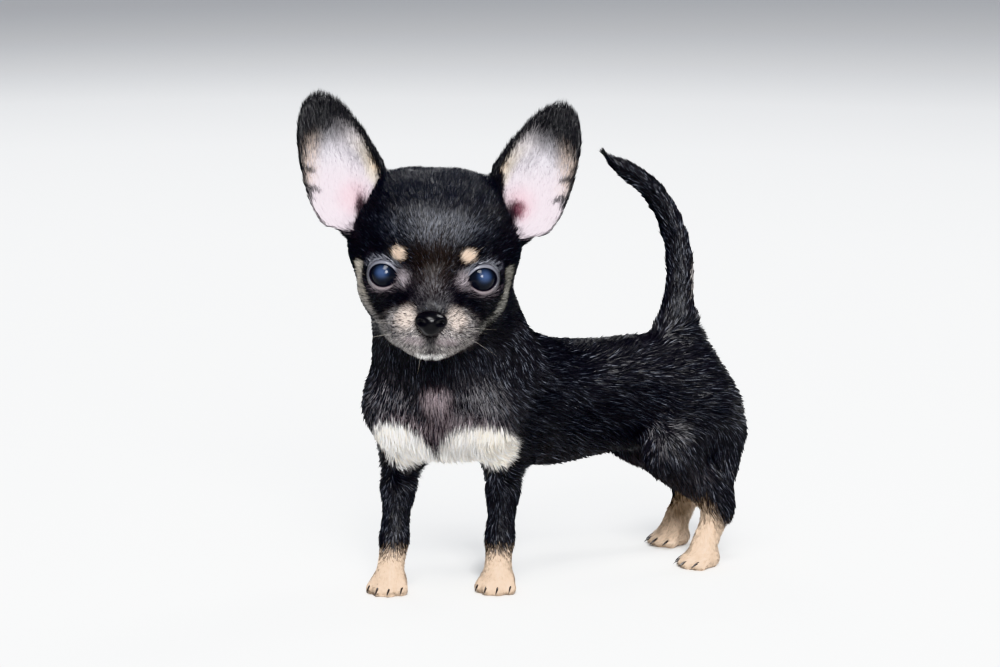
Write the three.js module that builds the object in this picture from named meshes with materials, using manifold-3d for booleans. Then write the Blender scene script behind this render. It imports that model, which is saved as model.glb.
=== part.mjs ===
// A young smooth-coated Chihuahua, life size and still: it stands on four feet with its chest and neck
// bent round to its left, its head turned that way, its ears up and its tail curled over its back.
// Units are millimetres, +Z is up, the back lies along Y and the dog walks towards -Y.
import * as THREE from "three";
import { mergeVertices } from "three/addons/utils/BufferGeometryUtils.js";
import { triTable } from "three/addons/objects/MarchingCubes.js";
import Module from "manifold-3d";

const wasm = await Module();
wasm.setup();

// Driving dimensions
const GAP = 0.3; // between neighbouring nodes
const TRUNK_LENGTH = 104; // withers to hips
const CHEST_TURN = 47; // degrees that the chest faces to the left of the hips
const PELVIS_TURN = -2;
const BARREL_TURN = (CHEST_TURN + PELVIS_TURN) / 2;
const HEAD_TURN = 62.5;
const HEAD_LIFT = 4;
const HEAD_ROLL = 2.5; // the left eye is the lower
const EYE_HEIGHT = 132.4;
const EYE_RADIUS = 7.6;
const EYE_OUT = 17.5; // globe's centre from the midline
const EYE_AHEAD = 14.8;
const EYE_OPENING = 5.2; // half of what the lids leave open
const LID_THICKNESS = 1.5;
const EAR_THICKNESS = 1.9;
const FORE_SPREAD = 20.5; // each foreleg from the midline
const HIND_SPREAD = 18;
const CLAW_LENGTH = 3.6;

// Colours of the coat, the skin inside the ears, the eyes and the nose
const BLACK = { color: 0x17161a, roughness: 0.55, metalness: 0 };
const PINK = { color: 0xd9b3ae, roughness: 0.6, metalness: 0 };
const WET_BLUE = { color: 0x10162a, roughness: 0.06, metalness: 0 };
const WET_BLACK = { color: 0x0b0b0d, roughness: 0.25, metalness: 0 };

// Places. A place turns (forward, left, up) of a body part into the model's own axes.
function place([x, y, z], turn, lift = 0, roll = 0) {
  const { degToRad } = THREE.MathUtils;
  const facing = new THREE.Euler(degToRad(-roll), degToRad(-lift), degToRad(turn - 90), "ZYX");
  return new THREE.Matrix4().makeRotationFromEuler(facing).setPosition(x, y, z);
}
const at = (frame, point) => new THREE.Vector3(...point).applyMatrix4(frame);
const sided = ([forward, left, up], side) => [forward, left * side, up];
const bothSides = (make) => [1, -1].flatMap(make); // left is 1, right is -1

const WORLD = new THREE.Matrix4();
const CHEST = place([-2, -7, 0], CHEST_TURN);
const BARREL = place([-8, 0.37 * TRUNK_LENGTH, 0], BARREL_TURN);
const LOIN = place([-4, 0.66 * TRUNK_LENGTH, 0], BARREL_TURN / 4);
const PELVIS = place([0, TRUNK_LENGTH - 5, 0], PELVIS_TURN);
const HEAD = place([15, -22.8, EYE_HEIGHT], HEAD_TURN, HEAD_LIFT, HEAD_ROLL);

// Forms. Each gives the distance from a point to a simple shape, below zero inside, and the width over
// which the shape melts into the forms before it.
function ball(frame, centre, radii, blend, tilt = [0, 0, 0]) {
  const turn = new THREE.Euler(...tilt.map(THREE.MathUtils.degToRad));
  const turned = new THREE.Matrix4().makeRotationFromEuler(turn).setPosition(...centre);
  const own = frame.clone().multiply(turned);
  const m = own.clone().invert().elements;
  const [rx, ry, rz] = radii;
  function distance(x, y, z) {
    const px = (m[0] * x + m[4] * y + m[8] * z + m[12]) / rx;
    const py = (m[1] * x + m[5] * y + m[9] * z + m[13]) / ry;
    const pz = (m[2] * x + m[6] * y + m[10] * z + m[14]) / rz;
    const whole = Math.hypot(px, py, pz);
    const slope = Math.hypot(px / rx, py / ry, pz / rz);
    return slope > 1e-9 ? (whole * (whole - 1)) / slope : -Math.min(rx, ry, rz);
  }
  const middle = new THREE.Vector3().setFromMatrixPosition(own);
  return { distance, blend, middle, reach: Math.max(...radii) };
}

function limb(frame, from, fromRadius, to, toRadius, blend) {
  const a = at(frame, from);
  const b = at(frame, to);
  const along = b.clone().sub(a);
  const squared = along.lengthSq();
  function distance(x, y, z) {
    const dx = x - a.x;
    const dy = y - a.y;
    const dz = z - a.z;
    const share = (dx * along.x + dy * along.y + dz * along.z) / squared;
    const t = Math.min(1, Math.max(0, share));
    const apart = Math.hypot(dx - t * along.x, dy - t * along.y, dz - t * along.z);
    return apart - (fromRadius + t * (toRadius - fromRadius));
  }
  const middle = a.clone().lerp(b, 0.5);
  return { distance, blend, middle, reach: along.length() / 2 + Math.max(fromRadius, toRadius) };
}

const hollow = (form) => ({ ...form, carves: true });

// The field of a list of forms: they melt together in order, and a hollow is cut from those before it.
function fieldOf(forms) {
  return (x, y, z) => {
    let d = 1e3;
    for (const { distance, middle, reach, blend, carves } of forms) {
      const nearest = Math.hypot(x - middle.x, y - middle.y, z - middle.z) - reach;
      if (carves) {
        if (nearest > blend - d) continue;
        const cut = -distance(x, y, z);
        const share = Math.max(blend - Math.abs(d - cut), 0) / blend;
        d = Math.max(d, cut) + (share * share * blend) / 4;
      } else if (nearest < d + blend) {
        const own = distance(x, y, z);
        const share = Math.max(blend - Math.abs(d - own), 0) / blend;
        d = Math.min(d, own) - (share * share * blend) / 4;
      }
    }
    return d;
  };
}

// Trunk: rib cage, forechest, withers, loin and croup, bent round to the left
const trunk = [
  ball(BARREL, [2, 0, 74], [32, 25, 21.8], 8),
  ball(BARREL, [20, 0, 76], [24, 25, 22], 10),
  ball(CHEST, [0, 0, 76], [24, 26, 22], 10),
  ball(CHEST, [12, 0, 75], [17, 20, 18], 8),
  ball(CHEST, [-12, 0, 90], [15, 13, 10], 10),
  ball(BARREL, [24, 3, 88], [19, 13, 12.5], 10),
  ball(LOIN, [1, 0, 75], [26, 21.5, 18.5], 10),
  ball(BARREL, [-4, 0, 63.5], [31, 21, 19.5], 10), // a pup's round belly
  ball(LOIN, [2, 0, 66], [25, 19, 18], 10),
  ball(PELVIS, [12, 0, 76.2], [24, 20, 16.3], 10),
  ball(PELVIS, [-0.6, 0, 77.8], [13, 16.2, 14.6], 8),
];

// Neck: short and thick, widest where it runs into the shoulders
function muscle(inChest, chestRadius, inHead, headRadius, blend) {
  const [low, high] = [at(CHEST, inChest).toArray(), at(HEAD, inHead).toArray()];
  return limb(WORLD, low, chestRadius, high, headRadius, blend);
}
const neck = [
  muscle([1, 0, 90], 23, [-9, 0, -4], 22, 12),
  muscle([12, 0, 84], 17, [1, 0, -16], 15, 10),
  ...bothSides((side) => [muscle([3, 15 * side, 82], 15, [-6, 8 * side, -12], 13, 12)]),
  muscle([-4, 19, 88], 16, [-14, 17.5, -13], 14, 12), // the left side bunches up, as the head turns that way
];

// A paw: a low pad, four toes fanned out ahead of it and the sole cut flat later
const TOES = [
  { out: -6, ahead: 3.4 },
  { out: -2.1, ahead: 6.7 },
  { out: 2.1, ahead: 6.7 },
  { out: 6, ahead: 3.4 },
];
const TOE_RADIUS = 2.9;
const toeTip = ([forward, left], { out, ahead }) => [forward + ahead, left + out, TOE_RADIUS - 0.7];
const toeRoot = ([forward, left, up], { out }) => [forward - 1, left + 0.7 * out, up + 0.5];
function paw(frame, foot) {
  const [forward, left] = foot;
  const toes = TOES.map((toe) => limb(frame, toeRoot(foot, toe), 2.6, toeTip(foot, toe), TOE_RADIUS, 0.7));
  return [ball(frame, [forward - 1.5, left, 3.6], [6.6, 6.6, 4.8], 3), ...toes];
}

// Forelegs. The right one stands a short step ahead.
const FORE_STEP = { 1: 0, "-1": 13 };
const foreFoot = (side) => [4 + FORE_STEP[side], FORE_SPREAD * side, 6];
function foreleg(side) {
  const step = FORE_STEP[side];
  const shoulder = [12, 17 * side, 75];
  const elbow = [-7 + 0.4 * step, (FORE_SPREAD - 0.5) * side, 57];
  const wrist = [-1 + 0.9 * step, (FORE_SPREAD - 0.3) * side, 21];
  return [
    limb(CHEST, [-10, 10 * side, 92], 10, shoulder, 12, 10),
    limb(CHEST, shoulder, 12, elbow, 9, 9),
    limb(CHEST, elbow, 8.6, [-4 + 0.65 * step, FORE_SPREAD * side, 40], 6.2, 7),
    limb(CHEST, [-4 + 0.65 * step, FORE_SPREAD * side, 40], 6.2, wrist, 5.3, 4),
    limb(CHEST, wrist, 5.4, foreFoot(side), 5.6, 4),
    ...paw(CHEST, foreFoot(side)),
  ];
}

// Hind legs: thigh, lower thigh, hock and the upright pastern below it
const HIND_STEP = { 1: 0, "-1": -7 };
const hindFoot = (side) => [1 + HIND_STEP[side], (HIND_SPREAD + 1) * side, 5.5];
const stifleOf = (side) => [17 + 0.5 * HIND_STEP[side], (HIND_SPREAD + 2) * side, 49];
const hockOf = (side) => [-7 + HIND_STEP[side], (HIND_SPREAD + 0.5) * side, 25];
function hindLeg(side) {
  return [
    ball(PELVIS, [3, 13.5 * side, 67], [17, 11.5, 17], 8),
    ball(PELVIS, [-8, 12 * side, 61], [12, 10.5, 15], 8),
    limb(PELVIS, [2, 16 * side, 62], 12.5, stifleOf(side), 9, 8),
    limb(PELVIS, stifleOf(side), 8.6, hockOf(side), 5.6, 7),
    limb(PELVIS, [-12, 15 * side, 54], 8, hockOf(side), 4.6, 6),
    limb(PELVIS, hockOf(side), 5.2, hindFoot(side), 5.6, 4),
    ...paw(PELVIS, hindFoot(side)),
  ];
}

// Tail: set on high, straight up, then forward over the back. Thickest near the root, pointed at the tip.
const tailPath = new THREE.CatmullRomCurve3(
  [
    [3, 0, 86],
    [3, 0, 96],
    [2, 0, 108],
    [1.5, 0, 122],
    [5.5, 0, 138.7],
    [13.6, 0, 152.2],
    [22.5, 0, 160.1],
    [31.4, 0, 165.2],
    [39, 0, 172],
  ].map((point) => at(PELVIS, point)),
);
const TAIL_PIECES = 18;
function tailRadius(t) {
  const root = 3.4 * Math.exp(-(((t - 0.02) / 0.16) ** 2));
  const brush = 5.4 - 4 * Math.max(0, t - 0.38);
  const point = Math.sqrt(Math.max(0, 1 - Math.max(0, (t - 0.78) / 0.22) ** 2));
  return Math.max(0.6, brush * point + root);
}
const tail = Array.from({ length: TAIL_PIECES }, (_, i) => {
  const [t0, t1] = [i / TAIL_PIECES, (i + 1) / TAIL_PIECES];
  const [a, b] = [tailPath.getPoint(t0), tailPath.getPoint(t1)];
  return limb(WORLD, a.toArray(), tailRadius(t0), b.toArray(), tailRadius(t1), i < 3 ? 6 : 2);
});

// Head: an apple-shaped skull, a steep stop and a short, broad muzzle
const skull = [
  ball(HEAD, [-5, 0, 12.5], [30, 29.5, 26], 6),
  ...bothSides((side) => [ball(HEAD, [-2, 12 * side, 22], [17, 15, 15], 8)]),
  ...bothSides((side) => [ball(HEAD, [10, 8.5 * side, 16], [15, 15, 15.5], 7)]),
  ...bothSides((side) => [ball(HEAD, [3, 15 * side, -7], [17, 13.9, 13.5], 8)]),
  ...bothSides((side) => [ball(HEAD, [-5, 25 * side, 8.5], [12, 8.6, 11.5], 7)]),
  ball(HEAD, [-24, 0, 2], [12, 19, 15], 8),
];
const muzzle = [
  limb(HEAD, [13, 0, -12], 14, [26.5, 0, -18], 11.5, 7),
  limb(HEAD, [15, 0, -3], 8, [31, 0, -12.6], 5.2, 6),
  ...bothSides((side) => [ball(HEAD, [27, 7.4 * side, -19.5], [9.4, 8.8, 7.4], 4)]),
  limb(HEAD, [6, 0, -22], 10.5, [28, 0, -26.3], 5.8, 4),
  ...bothSides((side) => [ball(HEAD, [10, 11 * side, -20], [14, 8.6, 8.8], 5)]),
  ...bothSides((side) => [ball(HEAD, [22, 5.5 * side, -25], [10, 6.2, 5.4], 4)]),
];

// Each eye looks ahead and a little outward from a rounded mound of lids
const EYE_AXIS = new THREE.Vector3(0.95, 0.31, -0.02).normalize().toArray();
const eyeCentre = (side) => [EYE_AHEAD, EYE_OUT * side, -0.8];
const lids = bothSides((side) => [
  ball(HEAD, eyeCentre(side), Array(3).fill(EYE_RADIUS + LID_THICKNESS), 4),
]);

// Ears. Seen from the front each is a leaf round its canal, and it rises forward to its rim, as a cup.
const CANAL = { forward: -14, left: 30, up: 24 };
const EAR_RIM = [
  [-7.3, 48.8, 65],
  [-6.7, 54, 60.4],
  [-5, 55.6, 50],
  [-3.5, 53.7, 38],
  [-2.5, 50.2, 26.5],
  [-2, 46.9, 19.8],
  [-2, 43, 15.2],
  [-2.5, 37, 13.5],
  [-4, 30, 14.6],
  [-4, 23, 20],
  [-3, 19.5, 30],
  [-3, 20.9, 38.6],
  [-4, 25.5, 46.2],
  [-5, 29.7, 52],
  [-5.5, 34.5, 57.6],
  [-6.8, 42.4, 64],
];
const EAR_STEPS = 240;
const earRim = (() => {
  const points = EAR_RIM.map((p) => new THREE.Vector3(...p));
  const curve = new THREE.CatmullRomCurve3(points, true, "centripetal");
  const around = curve.getPoints(1200).map(({ x, y, z }) => ({
    angle: Math.atan2(z - CANAL.up, y - CANAL.left),
    radius: Math.hypot(z - CANAL.up, y - CANAL.left),
    forward: x,
  }));
  const table = Array.from({ length: EAR_STEPS });
  for (const entry of around)
    table[Math.floor(((entry.angle / Math.PI + 1) / 2) * EAR_STEPS) % EAR_STEPS] = entry;
  return table.map((entry, i) => entry ?? table[(i + 1) % EAR_STEPS] ?? table[i - 1]);
})();
function rimAt(angle) {
  const place = ((angle / Math.PI + 1) / 2) * EAR_STEPS - 0.5;
  const low = Math.floor(place);
  const share = place - low;
  const [a, b] = [low, low + 1].map((i) => earRim[(i + EAR_STEPS) % EAR_STEPS]);
  return {
    radius: a.radius + share * (b.radius - a.radius),
    forward: a.forward + share * (b.forward - a.forward),
  };
}
function sheetAt(left, up) {
  const [dx, dy] = [left - CANAL.left, up - CANAL.up];
  const rim = rimAt(Math.atan2(dy, dx));
  const share = Math.hypot(dx, dy) / rim.radius;
  const rise = Math.min(1.3, share) ** 1.25;
  return { forward: CANAL.forward + (rim.forward - CANAL.forward) * rise, over: (share - 1) * rim.radius };
}
function ear(side) {
  const inverse = HEAD.clone().invert();
  const p = new THREE.Vector3();
  const STEP = 0.5;
  function distance(x, y, z) {
    p.set(x, y, z).applyMatrix4(inverse);
    const left = p.y * side;
    const here = sheetAt(left, p.z);
    const slopeLeft = (sheetAt(left + STEP, p.z).forward - here.forward) / STEP;
    const slopeUp = (sheetAt(left, p.z + STEP).forward - here.forward) / STEP;
    const thin = 1 - 0.25 * THREE.MathUtils.smoothstep(p.z, 20, 62);
    const across =
      Math.abs(p.x - here.forward) / Math.hypot(1, slopeLeft, slopeUp) - (EAR_THICKNESS / 2) * thin;
    const beside = here.over * 0.85 + 0.5;
    const outside = Math.hypot(Math.max(across, 0), Math.max(beside, 0));
    return Math.min(Math.max(across, beside), 0) + outside - 0.5;
  }
  return { distance, blend: 5, middle: at(HEAD, sided([-7, 38, 38], side)), reach: 42 };
}
// The ear's root: a mound behind the cup
const earRoot = (side) => [
  limb(HEAD, sided([-12, 20, 22], side), 9, sided([-14.5, 33, 36], side), 3, 8),
];

const headForms = [...skull, ...muzzle, ...lids, ...bothSides(earRoot)];
const limbForms = [...bothSides(foreleg), ...bothSides(hindLeg), ...tail];
const body = fieldOf([...trunk, ...neck, ...headForms, ...limbForms]);

// Surface of a field inside a box, by marching cubes over a grid
const CORNERS = [
  [0, 0, 0],
  [1, 0, 0],
  [1, 1, 0],
  [0, 1, 0],
  [0, 0, 1],
  [1, 0, 1],
  [1, 1, 1],
  [0, 1, 1],
];
const EDGES = [
  [0, 1], [1, 2], [3, 2], [0, 3], [4, 5], [5, 6],
  [7, 6], [4, 7], [0, 4], [1, 5], [2, 6], [3, 7],
];
const LEAST_SHARE = 0.06; // keeps a crossing off the grid's own points
function surface(field, box, step) {
  const size = box.getSize(new THREE.Vector3());
  const [nx, ny, nz] = size.toArray().map((length) => Math.ceil(length / step) + 1);
  const values = new Float64Array(nx * ny * nz);
  const index = (i, j, k) => i + nx * (j + ny * k);
  const coordinate = (i, j, k) => [
    box.min.x + i * step,
    box.min.y + j * step,
    box.min.z + k * step,
  ];
  for (let k = 0; k < nz; k++)
    for (let j = 0; j < ny; j++)
      for (let i = 0; i < nx; i++) {
        const rim = !i || !j || !k || i === nx - 1 || j === ny - 1 || k === nz - 1;
        values[index(i, j, k)] = rim ? step : field(...coordinate(i, j, k)) || 1e-6;
      }
  const points = [];
  const triangles = [];
  const made = new Map();
  function crossing(i, j, k, edge) {
    const [from, to] = EDGES[edge].map((c) => CORNERS[c]);
    const a = index(i + from[0], j + from[1], k + from[2]);
    const b = index(i + to[0], j + to[1], k + to[2]);
    const key = a * 3 + (b - a === 1 ? 0 : b - a === nx ? 1 : 2);
    if (made.has(key)) return made.get(key);
    const raw = values[a] / (values[a] - values[b]);
    const share = Math.min(1 - LEAST_SHARE, Math.max(LEAST_SHARE, raw));
    const start = coordinate(i + from[0], j + from[1], k + from[2]);
    const axis = from.findIndex((c, n) => c !== to[n]);
    start[axis] += share * step;
    made.set(key, points.length / 3);
    points.push(...start);
    return points.length / 3 - 1;
  }
  for (let k = 0; k < nz - 1; k++)
    for (let j = 0; j < ny - 1; j++)
      for (let i = 0; i < nx - 1; i++) {
        let code = 0;
        CORNERS.forEach(([a, b, c], n) => {
          if (values[index(i + a, j + b, k + c)] > 0) code |= 1 << n;
        });
        for (let n = code * 16; triTable[n] !== -1; n += 3)
          triangles.push(...[0, 1, 2].map((m) => crossing(i, j, k, triTable[n + m])));
      }
  return { points: Float64Array.from(points), triangles };
}

const LEAST_TURN = 0.2; // cosine between a face's old and new normals
const LEAST_BREADTH = 0.03; // keeps slivers out
// Fewer triangles, most of them kept where the surface bends: the edges whose loss shows least go first
function thinned({ points, triangles }, wanted) {
  const faces = [];
  for (let i = 0; i < triangles.length; i += 3) faces.push(triangles.slice(i, i + 3));
  const count = points.length / 3;
  const around = Array.from({ length: count }, () => new Set());
  faces.forEach((face, f) => face.forEach((v) => around[v].add(f)));
  const position = (v) => new THREE.Vector3(points[3 * v], points[3 * v + 1], points[3 * v + 2]);
  const spots = Array.from({ length: count }, (_, v) => position(v));
  const errors = Array.from({ length: count }, () => new Float64Array(10));
  const cornersOf = (face) => face.map((v) => spots[v]);
  function normalOf([a, b, c]) {
    return b.clone().sub(a).cross(c.clone().sub(a));
  }
  for (const face of faces) {
    const corners = cornersOf(face);
    const normal = normalOf(corners);
    const area = normal.length();
    if (!area) continue;
    normal.divideScalar(area);
    const { x, y, z } = normal;
    const w = -normal.dot(corners[0]);
    const plane = [x * x, x * y, x * z, x * w, y * y, y * z, y * w, z * z, z * w, w * w];
    for (const v of face) plane.forEach((q, i) => (errors[v][i] += q * area));
  }
  const costAt = (q, { x, y, z }) =>
    q[0] * x * x + q[4] * y * y + q[7] * z * z + q[9] +
    2 * (q[1] * x * y + q[2] * x * z + q[3] * x + q[5] * y * z + q[6] * y + q[8] * z);
  const heap = [];
  const stamp = new Int32Array(count);
  function push(entry) {
    let i = heap.push(entry) - 1;
    while (i && heap[(i - 1) >> 1].cost > heap[i].cost) {
      [heap[i], heap[(i - 1) >> 1]] = [heap[(i - 1) >> 1], heap[i]];
      i = (i - 1) >> 1;
    }
  }
  function pop() {
    const top = heap[0];
    const last = heap.pop();
    if (heap.length) {
      heap[0] = last;
      for (let i = 0; ; ) {
        let least = i;
        for (const child of [2 * i + 1, 2 * i + 2])
          if (child < heap.length && heap[child].cost < heap[least].cost) least = child;
        if (least === i) break;
        [heap[i], heap[least]] = [heap[least], heap[i]];
        i = least;
      }
    }
    return top;
  }
  function offer(a, b) {
    const q = errors[a].map((value, i) => value + errors[b][i]);
    const middle = spots[a].clone().lerp(spots[b], 0.5);
    const matrix = new THREE.Matrix3().set(q[0], q[1], q[2], q[1], q[4], q[5], q[2], q[5], q[7]);
    const trace = q[0] + q[4] + q[7];
    const choices = [middle, spots[a], spots[b]];
    if (Math.abs(matrix.determinant()) > 1e-4 * trace ** 3) {
      const best = new THREE.Vector3(-q[3], -q[6], -q[8]).applyMatrix3(matrix.invert());
      if (best.distanceTo(middle) < 2 * spots[a].distanceTo(spots[b])) choices.push(best);
    }
    let spot = middle;
    for (const choice of choices) if (costAt(q, choice) < costAt(q, spot)) spot = choice;
    const length = spots[a].distanceToSquared(spots[b]);
    const cost = costAt(q, spot) + 1e-5 * length * length;
    push({ a, b, spot: spot.clone(), cost, when: [stamp[a], stamp[b]] });
  }
  const neighbours = (v) => {
    const found = new Set();
    for (const f of around[v]) for (const n of faces[f]) if (n !== v) found.add(n);
    return found;
  };
  const turnsOver = (v, other, spot) => {
    for (const f of around[v]) {
      if (faces[f].includes(other)) continue;
      const before = normalOf(cornersOf(faces[f]));
      const after = normalOf(faces[f].map((n) => (n === v ? spot : spots[n])));
      if (before.dot(after) < LEAST_TURN * before.length() * after.length()) return true;
      const edge = Math.max(...faces[f].map((n) => (n === v ? 0 : spots[n].distanceTo(spot))));
      if (after.length() < LEAST_BREADTH * edge * edge) return true;
    }
    return false;
  };
  let left = faces.length;
  let rounds = 0;
  while (left > wanted) {
    if (!heap.length) {
      if (++rounds > 4) break;
      for (let v = 0; v < count; v++) for (const n of neighbours(v)) if (v < n) offer(v, n);
    }
    const { a, b, spot, when } = pop();
    if (stamp[a] !== when[0] || stamp[b] !== when[1]) continue;
    const ringB = neighbours(b);
    const shared = [...neighbours(a)].filter((n) => ringB.has(n));
    if (shared.length !== 2 || turnsOver(a, b, spot) || turnsOver(b, a, spot)) continue;
    for (const f of [...around[b]]) {
      if (faces[f].includes(a)) {
        for (const n of faces[f]) around[n].delete(f);
        faces[f] = null;
        left--;
      } else {
        faces[f] = faces[f].map((n) => (n === b ? a : n));
        around[a].add(f);
      }
    }
    around[b].clear();
    spots[a] = spot;
    errors[b].forEach((value, i) => (errors[a][i] += value));
    stamp[a]++;
    stamp[b] = -1;
    const ring = [...neighbours(a)];
    for (const n of ring) stamp[n]++;
    for (const n of ring)
      for (const m of neighbours(n)) if (m === a || n < m || !ring.includes(m)) offer(n, m);
  }
  const renamed = new Map();
  const kept = [];
  const indices = faces.filter(Boolean).flatMap((face) =>
    face.map((v) => {
      if (!renamed.has(v)) {
        renamed.set(v, kept.length / 3);
        kept.push(...spots[v].toArray());
      }
      return renamed.get(v);
    }),
  );
  return { points: kept, triangles: indices };
}

// Solids
function solidOf({ points, triangles }) {
  return new wasm.Manifold(
    new wasm.Mesh({
      numProp: 3,
      vertProperties: Float32Array.from(points),
      triVerts: Uint32Array.from(triangles),
    }),
  );
}
function solidOfGeometry(geometry, matrix = WORLD) {
  const bare = geometry.clone().applyMatrix4(matrix);
  bare.deleteAttribute("normal");
  bare.deleteAttribute("uv");
  const merged = mergeVertices(bare, 1e-4);
  const triangles = [];
  const index = merged.index.array;
  for (let i = 0; i < index.length; i += 3) {
    const [a, b, c] = index.slice(i, i + 3);
    if (a !== b && b !== c && c !== a) triangles.push(a, b, c);
  }
  return solidOf({ points: merged.getAttribute("position").array, triangles });
}
function largest(solid) {
  return solid.decompose().reduce((best, piece) => (piece.volume() > best.volume() ? piece : best));
}

// Parting. A plane keeps half a gap clear on each of its sides.
const FAR = 500;
const planeAt = (frame, point, normal) => ({
  point: at(frame, point),
  normal: new THREE.Vector3(...normal).transformDirection(frame),
});
function halfSpace({ point, normal }, ahead) {
  const turn = new THREE.Quaternion().setFromUnitVectors(new THREE.Vector3(0, 0, 1), normal);
  const centre = point.clone().addScaledVector(normal, ahead + FAR / 2);
  const matrix = new THREE.Matrix4().compose(centre, turn, new THREE.Vector3(1, 1, 1));
  return solidOfGeometry(new THREE.BoxGeometry(FAR, FAR, FAR), matrix);
}
const before = (solid, plane) => solid.subtract(halfSpace(plane, -GAP / 2));
const past = (solid, plane) => solid.intersect(halfSpace(plane, GAP / 2));
function block(frame, low, high, grow) {
  const size = high.map((h, i) => h - low[i] + 2 * grow);
  const middle = high.map((h, i) => (h + low[i]) / 2);
  const matrix = frame.clone().multiply(new THREE.Matrix4().makeTranslation(...middle));
  return solidOfGeometry(new THREE.BoxGeometry(...size), matrix);
}

const NECK_TOP = planeAt(HEAD, [8, 0, -31], [-0.508, 0, -0.861]);
const NECK_BASE = planeAt(CHEST, [22, 0, 79], [0.616, 0, 0.788]);
const earPlane = (side) => planeAt(HEAD, sided([0, 27.5, 24], side), sided([0, 0.894, 0.447], side));
const GROUND = { point: new THREE.Vector3(0, 0, 0), normal: new THREE.Vector3(0, 0, -1) };
const onGround = (solid) => solid.subtract(halfSpace(GROUND, 0));

// A region of the body: the field inside a box that is turned with its frame, at its own fineness
function region(field, frame, low, high, step, triangles) {
  const own = new THREE.Box3(new THREE.Vector3(...low), new THREE.Vector3(...high));
  const around = own.clone().applyMatrix4(frame).expandByScalar(1.5 * step);
  const inverse = frame.clone().invert();
  const middle = own.getCenter(new THREE.Vector3());
  const half = own.getSize(new THREE.Vector3()).multiplyScalar(0.5);
  const p = new THREE.Vector3();
  const inBox = (x, y, z) => {
    p.set(x, y, z).applyMatrix4(inverse).sub(middle);
    const outside = Math.max(Math.abs(p.x) - half.x, Math.abs(p.y) - half.y, Math.abs(p.z) - half.z);
    return outside > 0 ? outside : Math.max(outside, field(x, y, z));
  };
  return solidOf(thinned(surface(inBox, around, step), triangles));
}

// Head: lids open on the eyes, a facet for each ear and the nose, and the line of the mouth
function lathe(profile, frame, origin, axis) {
  const along = new THREE.Vector3(...axis);
  const turn = new THREE.Quaternion().setFromUnitVectors(new THREE.Vector3(0, 1, 0), along);
  const own = new THREE.Matrix4().compose(new THREE.Vector3(...origin), turn, new THREE.Vector3(1, 1, 1));
  const points = profile.map(([x, y]) => new THREE.Vector2(x, y));
  return { points, matrix: frame.clone().multiply(own) };
}
const EYE_BACK = -1.5; // the globe is cut flat behind
function globeProfile(radius, back, rows) {
  const start = Math.asin(back / radius);
  const arc = Array.from({ length: rows + 1 }, (_, i) => {
    const angle = start + ((Math.PI / 2 - start) * i) / rows;
    return [i === rows ? 0 : radius * Math.cos(angle), radius * Math.sin(angle)];
  });
  return [[0, back], ...arc];
}
function globe(side, grow, sides, rows) {
  const profile = globeProfile(EYE_RADIUS + grow, EYE_BACK - grow, rows);
  const { points, matrix } = lathe(profile, HEAD, eyeCentre(side), sided(EYE_AXIS, side));
  return solidOfGeometry(new THREE.LatheGeometry(points, sides), matrix);
}
function lidOpening(side) {
  const depth = Math.sqrt((EYE_RADIUS + 0.4) ** 2 - EYE_OPENING ** 2);
  const profile = [
    [0, depth - 3],
    [EYE_OPENING - 0.5, depth - 3],
    [EYE_OPENING, depth],
    [EYE_OPENING + 2.4, depth + 3],
    [0, depth + 3],
  ];
  const { points, matrix } = lathe(profile, HEAD, eyeCentre(side), sided(EYE_AXIS, side));
  const wider = new THREE.Matrix4().makeScale(1.06, 1, 0.97);
  return solidOfGeometry(new THREE.LatheGeometry(points, 20), matrix.multiply(wider));
}
const MOUTH = [
  [38.4, 0, -20.5],
  [38.2, 0, -23],
  [37.4, 2.5, -24.8],
  [34.6, 7.2, -25.4],
  [29, 12.6, -25],
  [23.5, 15.4, -24.4],
  [19, 17.2, -23.4],
];
// The nearest point of the body's surface, a little sunk
function settled(point, sink) {
  const p = point.clone();
  const STEP = 0.05;
  for (let i = 0; i < 6; i++) {
    const d = body(p.x, p.y, p.z);
    const slope = new THREE.Vector3(
      body(p.x + STEP, p.y, p.z) - d,
      body(p.x, p.y + STEP, p.z) - d,
      body(p.x, p.y, p.z + STEP) - d,
    ).divideScalar(STEP);
    p.addScaledVector(slope, -(d + sink) / slope.lengthSq());
  }
  return p;
}
function mouthLine(side) {
  const rough = new THREE.CatmullRomCurve3(MOUTH.map((point) => at(HEAD, sided(point, side))));
  const path = new THREE.CatmullRomCurve3(rough.getSpacedPoints(14).map((point) => settled(point, 0.1)));
  const section = new THREE.Shape();
  section.absellipse(0, 0, 0.75, 0.75, 0, 2 * Math.PI);
  const options = { steps: 22, curveSegments: 3, bevelEnabled: false, extrudePath: path };
  return solidOfGeometry(new THREE.ExtrudeGeometry(section, options));
}
const NOSE_BACK = 36.4;
const noseBlock = (grow) => block(HEAD, [NOSE_BACK, -7, -21.8], [60, 7, -8], grow);

const headRegion = region(body, HEAD, [-40, -40, -36], [50, 40, 46], 1.2, 5000);
const sockets = bothSides((side) => [lidOpening(side), globe(side, GAP + 0.1, 16, 6)]);
const headSolid = [...sockets, noseBlock(GAP / 2), mouthLine(1), mouthLine(-1)].reduce(
  (solid, cut) => solid.subtract(cut),
  bothSides((side) => [earPlane(side)]).reduce(before, before(headRegion, NECK_TOP)),
);

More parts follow.
